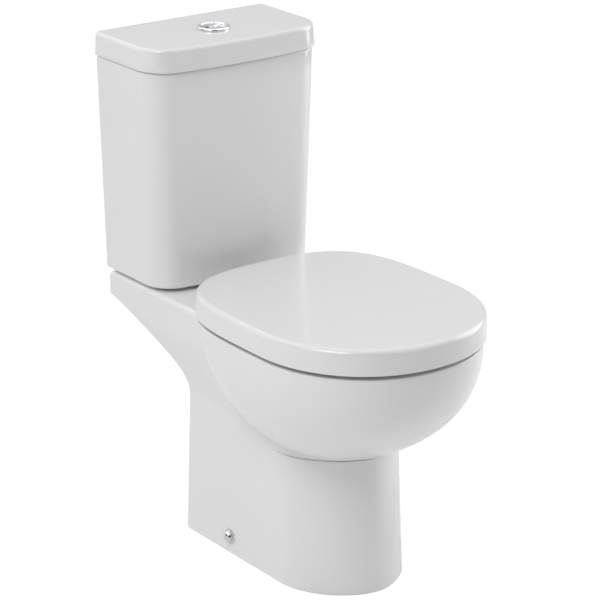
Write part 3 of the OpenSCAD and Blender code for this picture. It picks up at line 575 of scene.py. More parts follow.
# %% [markdown]
# ## Dressing a node
#
# A finished piece stands for a node of the frame: it takes the node's body, so it moves with it, and
# the node's finish. Nodes whose shape is already right keep their own mesh and only get the finish.

# %% Dress
def close_mesh(piece):
    """Merges doubled points, turns faces outward and reports open edges."""
    mesh = piece.data
    work = bmesh.new()
    work.from_mesh(mesh)
    bmesh.ops.remove_doubles(work, verts=work.verts, dist=0.000002)
    bmesh.ops.recalc_face_normals(work, faces=work.faces)
    if work.calc_volume(signed=True) < 0:
        bmesh.ops.reverse_faces(work, faces=work.faces)
    loose = sum(1 for e in work.edges if len(e.link_faces) != 2)
    size = len(work.faces)
    work.to_mesh(mesh)
    work.free()
    print(f"{piece.name}: {size} faces, {loose} open edges")
    return piece


def finish_as(piece, slot):
    """Gives the slot's finish, unless the piece has its own; booleans leave an empty place for one."""
    if not any(piece.data.materials):
        piece.data.materials.clear()
        piece.data.materials.append(finishes[slot])


def dress(piece, node, *others):
    """Makes the piece stand for that node, and for others of the same casting, in the node's finish."""
    finish_as(piece, slot_of[node])
    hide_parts(node, *others)
    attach(piece, body_of[node])
    return piece


print("dress ready")

# %% [markdown]
# ## The pan
#
# The pan is one casting: a pedestal with straight sides that widens into the deck, and a round bowl
# that grows out of it. Both are outlines that change with height. Seen from a point inside, each
# outline is a distance for every direction, so the two melt together with a smooth maximum: the larger
# distance wins, and where they are nearly equal it adds the small fillet that wet clay is sponged to.
# One point of every ring lies in the valley between the two, or the valley would come out ragged.

# %% Rules of the pedestal
clay = 11.0
deck_half, foot_half = 143.5, 103.0
lip_z, deck_plate, rim_edge = rim_z - 37, 15.0, 8.0
middle_y, front_half, front_lean = deep(402), 110.0, 12.0
widen_z, curve_z = 225.0, 245.0
foot_rear, curve_rear, deck_rear, beyond = 150, 163, 2, 133
reach = beyond + curve_rear - deck_rear
tall = (lip_z - curve_z) / math.sqrt(1 - (beyond / reach) ** 2)


def side_half(z):
    """Half width between the side panels at height z."""
    return foot_half + (deck_half - foot_half) * float(ease((z - widen_z) / (lip_z - 6 - widen_z)))


def rear_depth(z):
    """Depth of the rear edge of the side panels: upright below, an arc of an ellipse above."""
    if z <= curve_z:
        return foot_rear + (curve_rear - foot_rear) * z / curve_z
    if z >= lip_z:
        return float(deck_rear)
    return deck_rear - beyond + reach * math.sqrt(max(0, 1 - ((z - curve_z) / tall) ** 2))


def pedestal(z, inset=0.0, rear=None):
    """Outline of the pedestal: a small-cornered back, straight sides and a slightly pointed round front."""
    half, b = side_half(z) - inset, front_half - front_lean * min(z / widen_z, 1) - inset
    bend = 2 / (1.82 - 0.2 * min(z / widen_z, 1))
    back = (deep(rear_depth(z)) - inset) if rear is None else rear
    corner = 3.0
    flank = np.linspace(back - corner, middle_y, 132)[1:-1]
    turn = np.radians(np.linspace(180, 360, 161))
    c, s = np.cos(turn), np.sin(turn)
    return np.vstack([
        arc(half - corner, back - corner, corner, 0, 90, 9),
        np.column_stack([np.linspace(half - corner, -half + corner, 26)[1:-1], np.full(24, back)]),
        arc(-half + corner, back - corner, corner, 90, 180, 9),
        np.column_stack([np.full(130, -half), flank]),
        np.column_stack([half * np.sign(c) * np.abs(c) ** bend, middle_y - b * np.abs(s) ** bend]),
        np.column_stack([np.full(130, half), flank[::-1]]),
    ])


# the back is the first points of the outline; the right half of the rest starts in the middle of the front
back_points, front_middle = 42, 252
print("pedestal", len(pedestal(0)), "points a ring, widest", side_half(lip_z) * 2)

# %% Rules of the bowl
bowl_half = cover_high[0] - 3
bowl_y = deep(460)
bowl_front = bowl_y - pan_low[1] - 1
bowl_deep, bowl_inside, bowl_rear, bowl_shift = 201.0, 187.0, 246, 57
bowl_ends = 0.97
fillet, valley_start = 5.0, 0.012


def bowl(u, inset=0.0, count=240):
    """Outline of the bowl at share u of its depth, drawn in."""
    s = max(0.0, 1 - u ** 2.6) ** (1 / 1.93)
    inset = inset * s if u > 0.05 else inset
    return egg(bowl_half * s - inset, bowl_y + bowl_shift * u * u, bowl_front * s - inset,
               (bowl_rear * s - inset) * (1 - 0.2 * u), 2.1, 4 - 1.5 * u, count)


def opening(grow=0.0, count=240):
    """Outline of the hole in the rim, let out."""
    return egg(bowl_half - 48 + grow, bowl_y + 8, bowl_front - 40 + grow, 152 + grow, 2.1, 2.6, count)


def blended(z, inset=0.0, bowl_inset=None, only_valley=False):
    """Pedestal and bowl at height z as one outline, with one point of it in the valley between them.

    The valley is also given alone, as the share of the way from the middle of the front to the back.
    """
    outline = pedestal(min(z, rim_z), inset)
    u = (rim_z - z) / bowl_deep
    back, side = outline[:back_points], outline[front_middle:]
    walk = np.concatenate([[0], np.cumsum(np.hypot(*np.diff(side, axis=0).T))])
    walk /= walk[-1]
    ring = bowl(min(max(u, 0), bowl_ends), inset if bowl_inset is None else bowl_inset, 720)
    ring_angle = np.arctan2(ring[:, 1] - middle_y, ring[:, 0])
    ring_far = np.hypot(ring[:, 0], ring[:, 1] - middle_y)
    order = np.argsort(ring_angle)

    def melted(at):
        x, y = np.interp(at, walk, side[:, 0]), np.interp(at, walk, side[:, 1]) - middle_y
        angle, near = np.arctan2(y, x), np.hypot(x, y)
        far = np.interp(angle, ring_angle[order], ring_far[order], period=2 * np.pi)
        return angle, near, far

    fine = np.linspace(0, 1, 3001)
    angle, near, far = melted(fine)
    outside = np.nonzero(far > near)[0]
    valley = fine[outside[-1]] if len(outside) and u < bowl_ends else 0
    valley = max(valley, valley_start)
    if only_valley:
        return valley
    ahead = valley * (1 - (1 - np.linspace(0, 1, 111)) ** 1.5)
    behind = valley + (1 - valley) * np.linspace(0, 1, 101) ** 1.5
    angle, near, far = melted(np.concatenate([ahead, behind[1:]]))
    melt = np.maximum(fillet - np.abs(far - near), 0) / fillet
    r = near if u >= bowl_ends else np.maximum(far, near) + melt ** 3 * fillet / 6
    right = np.column_stack([r * np.cos(angle), middle_y + r * np.sin(angle)])
    left = right[:0:-1] * (-1, 1)
    return np.vstack([back, left, right])


print("bowl", round(bowl_half * 2, 1), "mm wide")

# %% [markdown]
# The rings are close together where the shape turns quickly: where the bowl leaves the pedestal, which
# is followed by how far the valley moves, along the arc of the rear edge and round the rim. There the
# bowl slopes in softly under the cover. The hollows are skins of the same rules, drawn in by the
# thickness of the clay, and are cut out with booleans.

# %% Skin of the pan
arc_levels = [curve_z + tall * math.sin(a) for a in np.linspace(0, math.asin((lip_z - curve_z) / tall), 52)]
levels, valley_at = [1.5, 60, 120, 170, 190], 0.0
for z in np.arange(196, curve_z - 1, 0.25):
    valley = blended(z, only_valley=True)
    if valley - valley_at > valley_start or z - levels[-1] >= 2:
        levels.append(z)
        valley_at = valley
levels += arc_levels[:-1]
levels += [lip_z - 0.4, lip_z + 0.4] + list(np.linspace(lip_z + 4, rim_z - rim_edge, 7))
skin = [at_height(blended(0, 1.2), 0)]
skin += [at_height(blended(z), z) for z in sorted(levels)]
rim_slope = [(6.6, 0), (5.4, 0), (4.3, 0), (3.4, 0.1), (2.6, 0.5), (2.1, 1.4),
             (1.6, 4), (1, 8), (0.4, 14), (0, 20)]
for down, back in rim_slope:
    turned_in = rim_edge - math.sqrt(rim_edge ** 2 - (rim_edge - down) ** 2)
    skin.append(at_height(blended(rim_z - down, turned_in, back), rim_z - down))
pan = loft("pan_body", skin)
pan.data.materials.append(glaze)
print("pan skin", len(pan.data.vertices), "points")

# %% Hollows of the pan
def bare(piece):
    """Faces that this tool leaves behind are unglazed clay."""
    piece.data.materials.append(bare_clay)
    return piece


def glazed(piece):
    piece.data.materials.append(glaze)
    return piece


def rounded_plan(x0, x1, y0, y1, r):
    """A rectangle with round corners of seven points each."""
    return np.vstack([arc(x1 - r, y0 + r, r, -90, 0, 7), arc(x1 - r, y1 - r, r, 0, 90, 7),
                      arc(x0 + r, y1 - r, r, 90, 180, 7), arc(x0 + r, y0 + r, r, 180, 270, 7)])


open_rear = wall_y + 20
inside_levels = [-1, widen_z] + [z for z in arc_levels if z < lip_z - 1] + [lip_z - 0.5]
under = bare(loft("foot_hollow", [at_height(pedestal(max(z, 0), clay, open_rear), z) for z in inside_levels]))
deck_levels = (lip_z - 1.5, rim_z - deck_plate)
deck_room = bare(loft("deck_hollow", [at_height(pedestal(lip_z, clay), z) for z in deck_levels]))
combine(pan, [under, deck_room], "DIFFERENCE")

depths = [math.sin(math.radians(a)) for a in np.linspace(86, 4, 40)]
basin = bare(loft("basin", [at_height(bowl(u, 1.0), rim_z - bowl_deep * u) for u in depths]
                  + [at_height(bowl(0.03, 9.0), rim_z - 2)]))
duct_half, duct_low, duct_high = 37.0, rim_z - 65, rim_z - 43
duct = bare(loft("duct", [at_height(rounded_plan(-46, 46, deep(240), deep(42), 6), z)
                          for z in (duct_low - 9, duct_high + 9)]))
well = bare(upright_bar("well_wall", 0, valve_y, duct_high + 1, rim_z - 5, 55))
print("hollows", len(pan.data.polygons), "faces")

# %% [markdown]
# Under the bowl a trap turns down, up and over to the outlet. It is a pipe swept along straight runs
# and two bends, once for its outside and once, thinner, for the water way. The water way starts as a
# funnel in the floor of the bowl and leaves through the spigot.

# %% Trap and outlet
sump_y, outlet_z = deep(460 - 57), 180.0
down_r, crown_r = 55.0, 62.0
bend_z = outlet_z - crown_r
crown_y = sump_y + 2 * down_r + crown_r
spigot_end = deep(90)


def trap_line(top, end):
    """Middle line of the trap as (y, z, heading in degrees)."""
    line = [(sump_y, z, -90) for z in np.linspace(top, bend_z + 1, 6)]
    for a in np.linspace(180, 360, 31):
        c, s = math.cos(math.radians(a)), math.sin(math.radians(a))
        line.append((sump_y + down_r + down_r * c, bend_z + down_r * s, a - 270))
    for a in np.linspace(174, 90, 15):
        c, s = math.cos(math.radians(a)), math.sin(math.radians(a))
        line.append((crown_y + crown_r * c, bend_z + crown_r * s, a - 90))
    return line + [(y, outlet_z, 0) for y in np.linspace(crown_y + 6, end, 4)]


def pipe(name, line, r):
    """Round pipe of 64 flats along a line in the middle plane."""
    rings, t = [], 2 * np.pi * np.arange(64) / 64
    for y, z, heading in line:
        h, across = math.radians(heading), r * np.sin(t)
        rings.append(np.column_stack([r * np.cos(t), y + across * math.sin(h), z - across * math.cos(h)]))
    return close_mesh(loft(name, rings))


def toward_wall(y, z):
    """Axis along +Y, starting there."""
    return lambda p: (p[1], y + p[2], z + p[0])


trap = bare(pipe("trap", trap_line(226, spigot_end - 70), 49))
spigot_section = [(0, 0), (47, 0), (51, 6), (51, 50), (50.2, 51), (50.2, 54), (51, 55), (51, 60), (50.2, 61),
                  (50.2, 64), (51, 65), (51, 77.5), (50, 80), (0, 80)]
spigot = glazed(turned("spigot", spigot_section, toward_wall(spigot_end - 80, outlet_z), 96))
combine(pan, [basin, duct, well, trap, spigot], "UNION")
print("trap from", sump_y, "to", spigot_end)

# %% Bowl, rim and water ways
rim_tall = 44.0
share = rim_tall / bowl_inside
inside = [math.sin(math.radians(a)) for a in np.linspace(87, math.degrees(math.asin(share)), 44)]
bowl_tool = glazed(loft("bowl_hollow", [at_height(bowl(u, clay), rim_z - bowl_inside * u) for u in inside]))
mouth = [(rim_z - rim_tall + up, grow) for up, grow in ((-2, 6), (0, 4.2), (2, 1.8), (5, 0.4), (8, 0))]
mouth += [(rim_z - 7 + 7 * math.sin(a), 7 * (1 - math.cos(a))) for a in np.radians(np.linspace(0, 84, 8))]
mouth += [(rim_z + 2, 7.2)]
mouth_tool = glazed(loft("rim_opening", [at_height(opening(grow), z) for z, grow in mouth]))
funnel_section = [(0, 203), (37, 203)]
funnel_section += [(37 + 24 * float(ease(k / 8)), 203 + 3 * k) for k in range(1, 9)] + [(0, 227)]
funnel = glazed(turned("funnel", funnel_section, upright(0, sump_y), 96))
water_way = glazed(pipe("water_way", trap_line(224, crown_y + 6), 38))
outlet_bore = glazed(cylinder("outlet_bore", (0, crown_y + 1, outlet_z), (0, spigot_end + 2, outlet_z), 40))
combine(pan, [bowl_tool, mouth_tool, funnel, water_way, outlet_bore], "DIFFERENCE")
print("rim opening", round(opening()[:, 0].max() * 2, 1), "mm wide")

# %% [markdown]
# The rim is a hollow channel that the flush runs round in, and it lets the water down through a row of
# holes in its underside. The holes follow the outline of the opening, which is just what Geometry Nodes
# are for: the outline becomes a curve, the curve is divided into equal steps, and a drill stands at each.

# %% A helper that runs a node tree
def new_rule(name, inputs):
    """A Geometry Nodes tree with these named inputs; returns its graph and the wires of its inputs."""
    tree = bpy.data.node_groups.new(name, "GeometryNodeTree")
    kinds = {"Geometry": "NodeSocketGeometry", "Material": "NodeSocketMaterial"}
    for key, value in inputs.items():
        kind = kinds.get(key, "NodeSocketInt" if isinstance(value, int) else "NodeSocketFloat")
        socket = tree.interface.new_socket(name=key, in_out="INPUT", socket_type=kind)
        if kind in ("NodeSocketInt", "NodeSocketFloat"):
            socket.default_value = value
    tree.interface.new_socket(name="Geometry", in_out="OUTPUT", socket_type="NodeSocketGeometry")
    start = tree.nodes.new("NodeGroupInput")
    graph = Graph(tree)
    return graph, {key: Wire(graph, start.outputs[key]) for key in inputs}


def end_rule(graph, geometry, material):
    """Real faces instead of instances, their material, and the way out of the tree."""
    solid = graph.node("GeometryNodeRealizeInstances", {}, {0: geometry})
    coloured = graph.node("GeometryNodeSetMaterial", {}, {"Geometry": solid, "Material": material})
    graph.node("NodeGroupOutput", {}, {0: coloured})
    return graph.tree


def grow(name, tree, values, host=None):
    """Runs a tree with these input values and keeps the result as a plain mesh."""
    if host is None:
        host = bpy.data.objects.new(name, bpy.data.meshes.new(name))
        bpy.context.scene.collection.objects.link(host)
    modifier = host.modifiers.new("rule", "NODES")
    modifier.node_group = tree
    for item in tree.interface.items_tree:
        if item.in_out == "INPUT" and item.name in values:
            modifier[item.identifier] = values[item.name]
    bake(host)
    host.data.name = name
    return host


print("rule helpers ready")

# %% Drills under the rim
def rim_drill_rule():
    sizes = {"Geometry": None, "Count": 28, "Radius": 0.003, "Length": 0.02, "Material": None}
    g, wire = new_rule("rim_drills", sizes)
    line = g.node("GeometryNodeMeshToCurve", {}, {"Mesh": wire["Geometry"]})
    steps = g.node("GeometryNodeResampleCurve", {}, {"Curve": line, "Count": wire["Count"]})
    drill = g.node("GeometryNodeMeshCylinder", {},
                   {"Vertices": 20, "Radius": wire["Radius"], "Depth": wire["Length"]})
    row = g.node("GeometryNodeInstanceOnPoints", {}, {"Points": steps, "Instance": drill})
    return end_rule(g, row, wire["Material"])


track = opening(16, 112)
track_mesh = bpy.data.meshes.new("rim_track")
track_mesh.from_pydata((at_height(track, rim_z - rim_tall + 6) * 0.001).tolist(),
                       [(i, (i + 1) % len(track)) for i in range(len(track))], [])
drills = bpy.data.objects.new("rim_drills", track_mesh)
bpy.context.scene.collection.objects.link(drills)
grow("rim_drills", rim_drill_rule(), {"Material": glaze}, drills)
channel = bare(loft("rim_channel", [at_height(bowl(0.12, clay), z) for z in (rim_z - 34, rim_z - 12)]))
core = bare(loft("rim_core", [at_height(opening(9), z) for z in (rim_z - 36, rim_z - 10)]))
combine(channel, [core], "DIFFERENCE")
duct_way = bare(block("duct_way", (-duct_half, deep(252), duct_low), (duct_half, deep(51), duct_high)))
duct_rise = bare(block("duct_rise", (-duct_half, deep(250), duct_low), (duct_half, deep(222), rim_z - 12)))
combine(pan, [channel, drills, duct_way, duct_rise], "DIFFERENCE")
print("28 holes under the rim")

# %% Holes for the fixings
bolt_x, stud_x, fill_x = 70.0, 77.5, 106.0
stud_y, side_y, side_z = deep(198), deep(269), 28.0
plate = (rim_z - 20, rim_z + 5)
holes = [glazed(upright_bar("well", 0, valve_y, rim_z - 32, rim_z + 5, 47)),
         bare(upright_bar("inlet", 0, valve_y, duct_high - 2, rim_z, 30)),
         bare(upright_bar("supply_hole", fill_x, valve_y, *plate, 19, 64))]
for side in (-1, 1):
    side_start, side_end = [(side * (foot_half + x), side_y, side_z) for x in (-clay - 1, 1)]
    holes += [bare(upright_bar("bolt_hole", side * bolt_x, valve_y, *plate, 5.5, 48)),
              bare(upright_bar("stud_hole", side * stud_x, stud_y, *plate, 6, 48)),
              bare(cylinder("side_hole", side_start, side_end, 3.5, 32))]
combine(pan, holes, "DIFFERENCE")
close_mesh(pan)
soften(pan, 28)
dress(pan, "pan", "pan_rim", "pan_bowl", "pan_trap")

# %% [markdown]
# ## The cistern
#
# The cistern is a slip-cast box without a lid. Its back is flat against the wall, its front corners are
# generous and its front is slightly bowed, so that the large face catches one calm reflection. It
# widens a little upwards, which lets it leave its mould. The same outline rule makes its outside, its
# inside and, later, the lid.

# %% Outline of the tank
tank_bow = 900.0


def tank(half, back_depth, front_depth, front_r, back_r):
    """Straight back, round corners and a bowed front, between two depths from the wall."""
    bow_y = deep(front_depth) + tank_bow
    corner_x = half - front_r
    corner_y = bow_y - math.sqrt((tank_bow - front_r) ** 2 - corner_x ** 2)
    turn = math.degrees(math.atan2(corner_y - bow_y, corner_x))
    back_y = deep(back_depth) - back_r
    flank = np.linspace(corner_y, back_y, 12)[1:-1]
    return np.vstack([
        arc(corner_x, corner_y, front_r, turn, 0, 28), np.column_stack([np.full(10, half), flank]),
        arc(half - back_r, back_y, back_r, 0, 90, 9),
        np.column_stack([np.linspace(half - back_r, back_r - half, 16)[1:-1], np.full(14, deep(back_depth))]),
        arc(back_r - half, back_y, back_r, 90, 180, 9), np.column_stack([np.full(10, -half), flank[::-1]]),
        arc(-corner_x, corner_y, front_r, 180, 180 - turn, 28),
        arc(0, bow_y, tank_bow, 180 - turn, 360 + turn, 44)[1:-1],
    ])


def tank_at(z, inset=0.0):
    """Outline of the cistern body at height z, drawn in."""
    k = (z - tank_low[2]) / (tank_high[2] - tank_low[2])
    wide, far = 293 + 19 * k, 162.5 + 6.5 * k
    return tank(wide / 2 - inset, inset, far - inset, 48 - inset, max(3 - inset * 0.3, 1.5))


print("cistern outline", len(tank_at(500)), "points")

# %% Skin of the cistern
tank_wall, tank_floor_z, foot_edge = 10.0, tank_low[2] + 14, 5.0
foot_z, top_z = tank_low[2], tank_high[2]
rings = [at_height(tank_at(foot_z, foot_edge * (1 - math.sin(a))), foot_z + foot_edge * (1 - math.cos(a)))
         for a in np.radians(np.linspace(0, 90, 7))]
rings += [at_height(tank_at(z), z) for z in np.linspace(foot_z + 40, top_z - 2.4, 9)]
rings += [at_height(tank_at(top_z, t), top_z - h) for t, h in ((0.25, 1.4), (0.9, 0.6), (2.0, 0))]
cistern = glazed(loft("cistern_body", rings))
hollow_edge = [(10 * (1 - math.sin(a)), tank_floor_z + 10 * (1 - math.cos(a)))
               for a in np.radians(np.linspace(0, 90, 6))]
inner = [at_height(tank_at(z, tank_wall + t), z) for t, z in hollow_edge]
inner += [at_height(tank_at(z, tank_wall), z) for z in (560, top_z - 2)]
inner += [at_height(tank_at(top_z, tank_wall - 1.2), top_z + 0.2)]
base, wall_hole_z = (foot_z - 2, tank_floor_z + 2), top_z - 52
cuts = [bare(loft("cistern_hollow", inner)),
        bare(upright_bar("valve_hole", 0, valve_y, *base, 25.5)),
        bare(upright_bar("supply_hole", fill_x, valve_y, *base, 11.7, 64))]
for side in (-1, 1):
    wall_start, wall_end = [(side * 90, wall_y + y, wall_hole_z) for y in (-12, 2)]
    cuts += [bare(upright_bar("bolt_hole", side * bolt_x, valve_y, *base, 5, 48)),
             bare(cylinder("wall_hole", wall_start, wall_end, 4.5, 48))]
combine(cistern, cuts, "DIFFERENCE")
close_mesh(cistern)
soften(cistern, 38)
dress(cistern, "cistern")

# %% [markdown]
# ## The lid
#
# The lid overhangs the cistern by a few millimetres and stands on it with a ring set further in, which
# leaves the dark line under it. Its side leans in a little, its top edge is softly rounded, and its top
# is not quite flat: it rises by half a millimetre to the middle, so water runs off. A lip underneath
# keeps it from sliding.

# %% Skin of the lid
lid_half, lid_front, lid_edge = lid_high[0], wall_y - lid_low[1], 6.0


def lid_ring(inset, lean=0.0):
    return tank(lid_half - inset - lean, 0.15 * inset, lid_front - inset - lean, 50 - inset, 3 - 0.15 * inset)


lid_z0, lid_z1, crown = tank_high[2], lid_high[2], 0.5
rings = [at_height(lid_ring(inset), lid_z0 + up) for inset, up in ((6.5, 0), (6.3, 1.7), (5.8, 2.0))]
rings += [at_height(lid_ring(inset), lid_z0 + up) for inset, up in ((0.8, 2.0), (0.2, 2.2), (0, 2.6))]
rings += [at_height(lid_ring(0, 1.6 * k / 4), lid_z0 + 2.6 + 27.6 * k / 4) for k in range(1, 5)]
for a in np.radians(np.linspace(0, 90, 11)[1:]):
    z = lid_z1 - crown - lid_edge + lid_edge * math.sin(a)
    rings.append(at_height(lid_ring(lid_edge * (1 - math.cos(a)), 1.6), z))
rim_of_top, middle = rings[-1], np.array([0, deep(86), 0])
for f in np.linspace(1, 0.04, 14)[1:]:
    ring = middle + (rim_of_top - middle) * f
    ring[:, 2] = lid_z1 - crown * f ** 2
    rings.append(ring)
lid = glazed(loft("cistern_lid_skin", rings))
room_ring = tank(lid_half - 12, 12, lid_front - 12, 36, 6)
room = bare(loft("lid_hollow", [at_height(room_ring, z) for z in (lid_z0 + 6, lid_z1 - 12)]))
lip = glazed(loft("lid_lip", [at_height(tank_at(top_z, 11.5), z) for z in (lid_low[2], lid_z0 + 4)]))
lip_levels = (lid_low[2] - 1, lid_z1 - 12.5)
lip_room = bare(loft("lip_hollow", [at_height(tank_at(top_z, 16.5), z) for z in lip_levels]))
combine(lid, [room], "DIFFERENCE")
combine(lid, [lip], "UNION")
hole = glazed(upright_bar("bezel_hole", 0, valve_y, lid_z1 - 16, lid_z1 + 2, bezel_r - 4))
combine(lid, [lip_room, hole], "DIFFERENCE")
close_mesh(lid)
soften(lid, 38)
dress(lid, "cistern_lid")

# %% [markdown]
# ## The seat cover
#
# The cover's shape follows one rule: its outline is an egg drawn with power curves, nearly round in
# front, straighter along its sides and gently bowed across the back; its skirt leans in a little, its
# edge is well rounded and its top swells by a millimetre or two. A node tree builds it from a flat grid:
# one direction of the grid runs round the egg, the other runs from the middle of the underside out to
# the skirt, up the skirt and in to the middle of the top.

# %% Rule of the egg solid
def egg_rule():
    sizes = {"Half": 0.18, "Middle": 0.0, "Front": 0.18, "Rear": 0.2,
             "Front power": 2.1, "Side power": 3.0, "Rear power": 4.1,
             "Bottom": 0.0, "Top": 0.03, "Edge": 0.005, "Dome": 0.001, "Lean": 0.0,
             "Round": 240, "Steps": 12, "Material": None}
    g, wire = new_rule("egg_solid", sizes)
    rows = 4 * wire["Steps"] + 1
    sheet = g.node("GeometryNodeMeshGrid", {}, {"Vertices X": wire["Round"] + 1, "Vertices Y": rows})
    index = g.node("GeometryNodeInputIndex")
    column = g.node("ShaderNodeMath", {"operation": "FLOOR"}, {0: (index + 0.25) / rows})
    place = (index - column * rows) / wire["Steps"]
    turn = column.math("MODULO", column, wire["Round"]) / wire["Round"] * (2 * math.pi)
    c, s = turn.math("COSINE", turn), turn.math("SINE", turn)

    def part_of(start):
        return (place - start).most(0).least(1)

    behind = s.math("GREATER_THAN", s, 0)
    quarter = part_of(2) * (math.pi / 2)
    inset = wire["Edge"] * (1 - quarter.math("COSINE", quarter)) + wire["Lean"] * part_of(1)
    far = wire["Front"] + (wire["Rear"] - wire["Front"]) * behind - inset
    side_power = wire["Front power"] + (wire["Side power"] - wire["Front power"]) * behind
    rear_power = wire["Front power"] + (wire["Rear power"] - wire["Front power"]) * behind
    across = c.math("SIGN", c) * c.math("ABSOLUTE", c) ** (2 / side_power) * (wire["Half"] - inset)
    along = s.math("SIGN", s) * s.math("ABSOLUTE", s) ** (2 / rear_power) * far
    spread = part_of(0) * (1 - part_of(3))
    top_side = wire["Top"] - wire["Dome"] - wire["Edge"]
    skirt = (top_side - wire["Bottom"]) * part_of(1)
    height = wire["Bottom"] + skirt + wire["Edge"] * quarter.math("SINE", quarter)
    height = height + wire["Dome"] * (1 - (1 - part_of(3)) ** 2)
    out = wire["Middle"] + along * spread
    point = g.node("ShaderNodeCombineXYZ", {}, {0: across * spread, 1: out, 2: height})
    shaped = g.node("GeometryNodeSetPosition", {}, {"Geometry": sheet, "Position": point})
    sewn = g.node("GeometryNodeMergeByDistance", {}, {"Geometry": shaped, "Distance": 0.000004})
    return end_rule(g, sewn, wire["Material"])


egg_tree = egg_rule()
print("egg rule has", len(egg_tree.nodes), "nodes")

# %% Cover
cover_wall, barrel, cover_back = 4.5, 17.0, 19.5


def cover_solid(name, inset, bottom, top, edge, dome, lean=0.0):
    values = {"Half": cover_high[0] - inset, "Middle": bowl_y, "Front": bowl_y - cover_low[1] - inset,
              "Rear": axis_y + cover_back - bowl_y - inset,
              "Bottom": bottom, "Top": top, "Edge": edge, "Dome": dome, "Lean": lean}
    values = {key: float(value) / 1000 for key, value in values.items()}
    return close_mesh(grow(name, egg_tree, {**values, "Material": finishes["seat_white"]}))


def axle(name, r, x0, x1, count=64):
    """Bar along the hinge axis."""
    return cylinder(name, (x0, axis_y, axis_z), (x1, axis_y, axis_z), r, count)


def behind_axis(name, r):
    """The space behind the hinge axis, outside a bar round it."""
    wide = cover_high[0] + 20
    space = block(name, (-wide, axis_y, axis_z - 80), (wide, axis_y + 70, axis_z + 40))
    return combine(space, [axle("bar", r, -wide - 5, wide + 5, 128)], "DIFFERENCE")


cover = cover_solid("seat_cover_skin", 0, cover_low[2], cover_high[2] + 1.2, 9.0, 1.7, 0.6)
under_top = cover_high[2] - cover_wall
cover_hollow = cover_solid("cover_hollow", cover_wall, cover_low[2] - 2, under_top, 5.5, 0.4, 0.6)
combine(cover_hollow, [behind_axis("barrel_wall", barrel - cover_wall)], "DIFFERENCE")
combine(cover, [cover_hollow], "DIFFERENCE")
block_half, lug_gap, pin_hole_r = 13.5, 0.5, 4.08
lug_in, lug_r = stud_x + block_half + lug_gap, barrel - cover_wall + 1
combine(cover, [axle("cover_lug", lug_r, s * lug_in, s * (lug_in + 14)) for s in (-1, 1)], "UNION")
wide = cover_high[0] + 20
cuts = [block("below", (-wide, axis_y, axis_z - 80), (wide, axis_y + 80, axis_z))]
for s in (-1, 1):
    x0, x1 = sorted((s * (stud_x - block_half - lug_gap), s * lug_in))
    cuts.append(block("notch", (x0, axis_y - 1, axis_z - 60), (x1, axis_y + 60, axis_z + barrel - 2)))
    cuts.append(axle("pin_hole", pin_hole_r, s * (lug_in - 3.5), s * (lug_in + 12)))
combine(cover, cuts, "DIFFERENCE")
close_mesh(cover)
soften(cover, 38)
dress(cover, "seat_cover")

# %% [markdown]
# ## The seat
#
# The seat is a ring, so it is drawn the other way: one section, from the outer edge over the crown to
# the rolled inner edge, is stretched between the outer egg and the hole in every direction.

# %% Seat ring
seat_z0, seat_z1 = rim_z + 6, seat_high[2]


def seat_outer(inset):
    return egg(seat_high[0] - inset, bowl_y, bowl_y - seat_low[1] - inset, 208 - inset, 2.1, 3.5)


def seat_hole(grown):
    return egg(seat_high[0] - 51 + grown, bowl_y, 119 + grown, 126 + grown, 2, 2.2)


def ring_section():
    """(share from outer to inner, inset from that edge, height) round the section of the ring."""
    section = [(0, 3, seat_z0), (0, 0.8, seat_z0 + 0.8), (0, 0, seat_z0 + 3)]
    section += [(0, 7 * (1 - math.cos(a)), seat_z1 - 8 + 7 * math.sin(a))
                for a in np.radians(np.linspace(0, 80, 9))]
    section += [(k, None, seat_z1 - 4 * (k - 0.5) ** 2) for k in np.linspace(0.24, 0.74, 7)]
    section += [(1, 10 * (1 - math.cos(a)), seat_z1 - 11 + 9 * math.sin(a))
                for a in np.radians(np.linspace(78, 0, 9))]
    return section + [(1, 0, seat_z0 + 4), (1, 1, seat_z0 + 1), (1, 4, seat_z0)]


def ring_points():
    outer, inner = seat_outer(0), seat_hole(0)
    rows = []
    for kind, inset, z in ring_section():
        if inset is None:
            rows.append(at_height(outer + (inner - outer) * kind, z))
        else:
            rows.append(at_height(seat_outer(inset) if kind == 0 else seat_hole(inset), z))
    return rows


def ring_loft(name, rows):
    """A closed ring: the last row is joined to the first."""
    n, m = len(rows[0]), len(rows)
    faces = [(j * n + i, j * n + (i + 1) % n, (j + 1) % m * n + (i + 1) % n, (j + 1) % m * n + i)
             for j in range(m) for i in range(n)]
    return place_mesh(name, np.vstack(rows), faces)


seat = close_mesh(ring_loft("seat_ring", ring_points()))
seat.data.materials.append(finishes["seat_white"])
lugs, lug_x = [], stud_x - block_half - lug_gap
for s in (-1, 1):
    x0, x1 = sorted((s * (lug_x - 16), s * lug_x))
    arm = rounded_plan(x0, x1, deep(284), deep(230), 2)
    lugs.append(loft("seat_arm", [at_height(arm, z) for z in (seat_z0, seat_z0 + 17)]))
    lugs.append(axle("seat_lug", 10, x0, x1))
combine(seat, lugs, "UNION")
combine(seat, [axle("pin_hole", pin_hole_r, *sorted((s * (lug_x - 14), s * (lug_x + 3)))) for s in (-1, 1)],
        "DIFFERENCE")
close_mesh(seat)
soften(seat, 38)
dress(seat, "seat")

# %% [markdown]
# ## The flush button
#
# The bezel is a pressed chrome ring: a rounded shoulder outside, a bright edge, and a bevel that falls
# to the buttons. Its barrel goes down through the lid. The two buttons share one round face: a curved
# gap parts a raised lens at the back, for the half flush, from a lower crescent in front. A negative
# dish makes a face bulge in its middle.

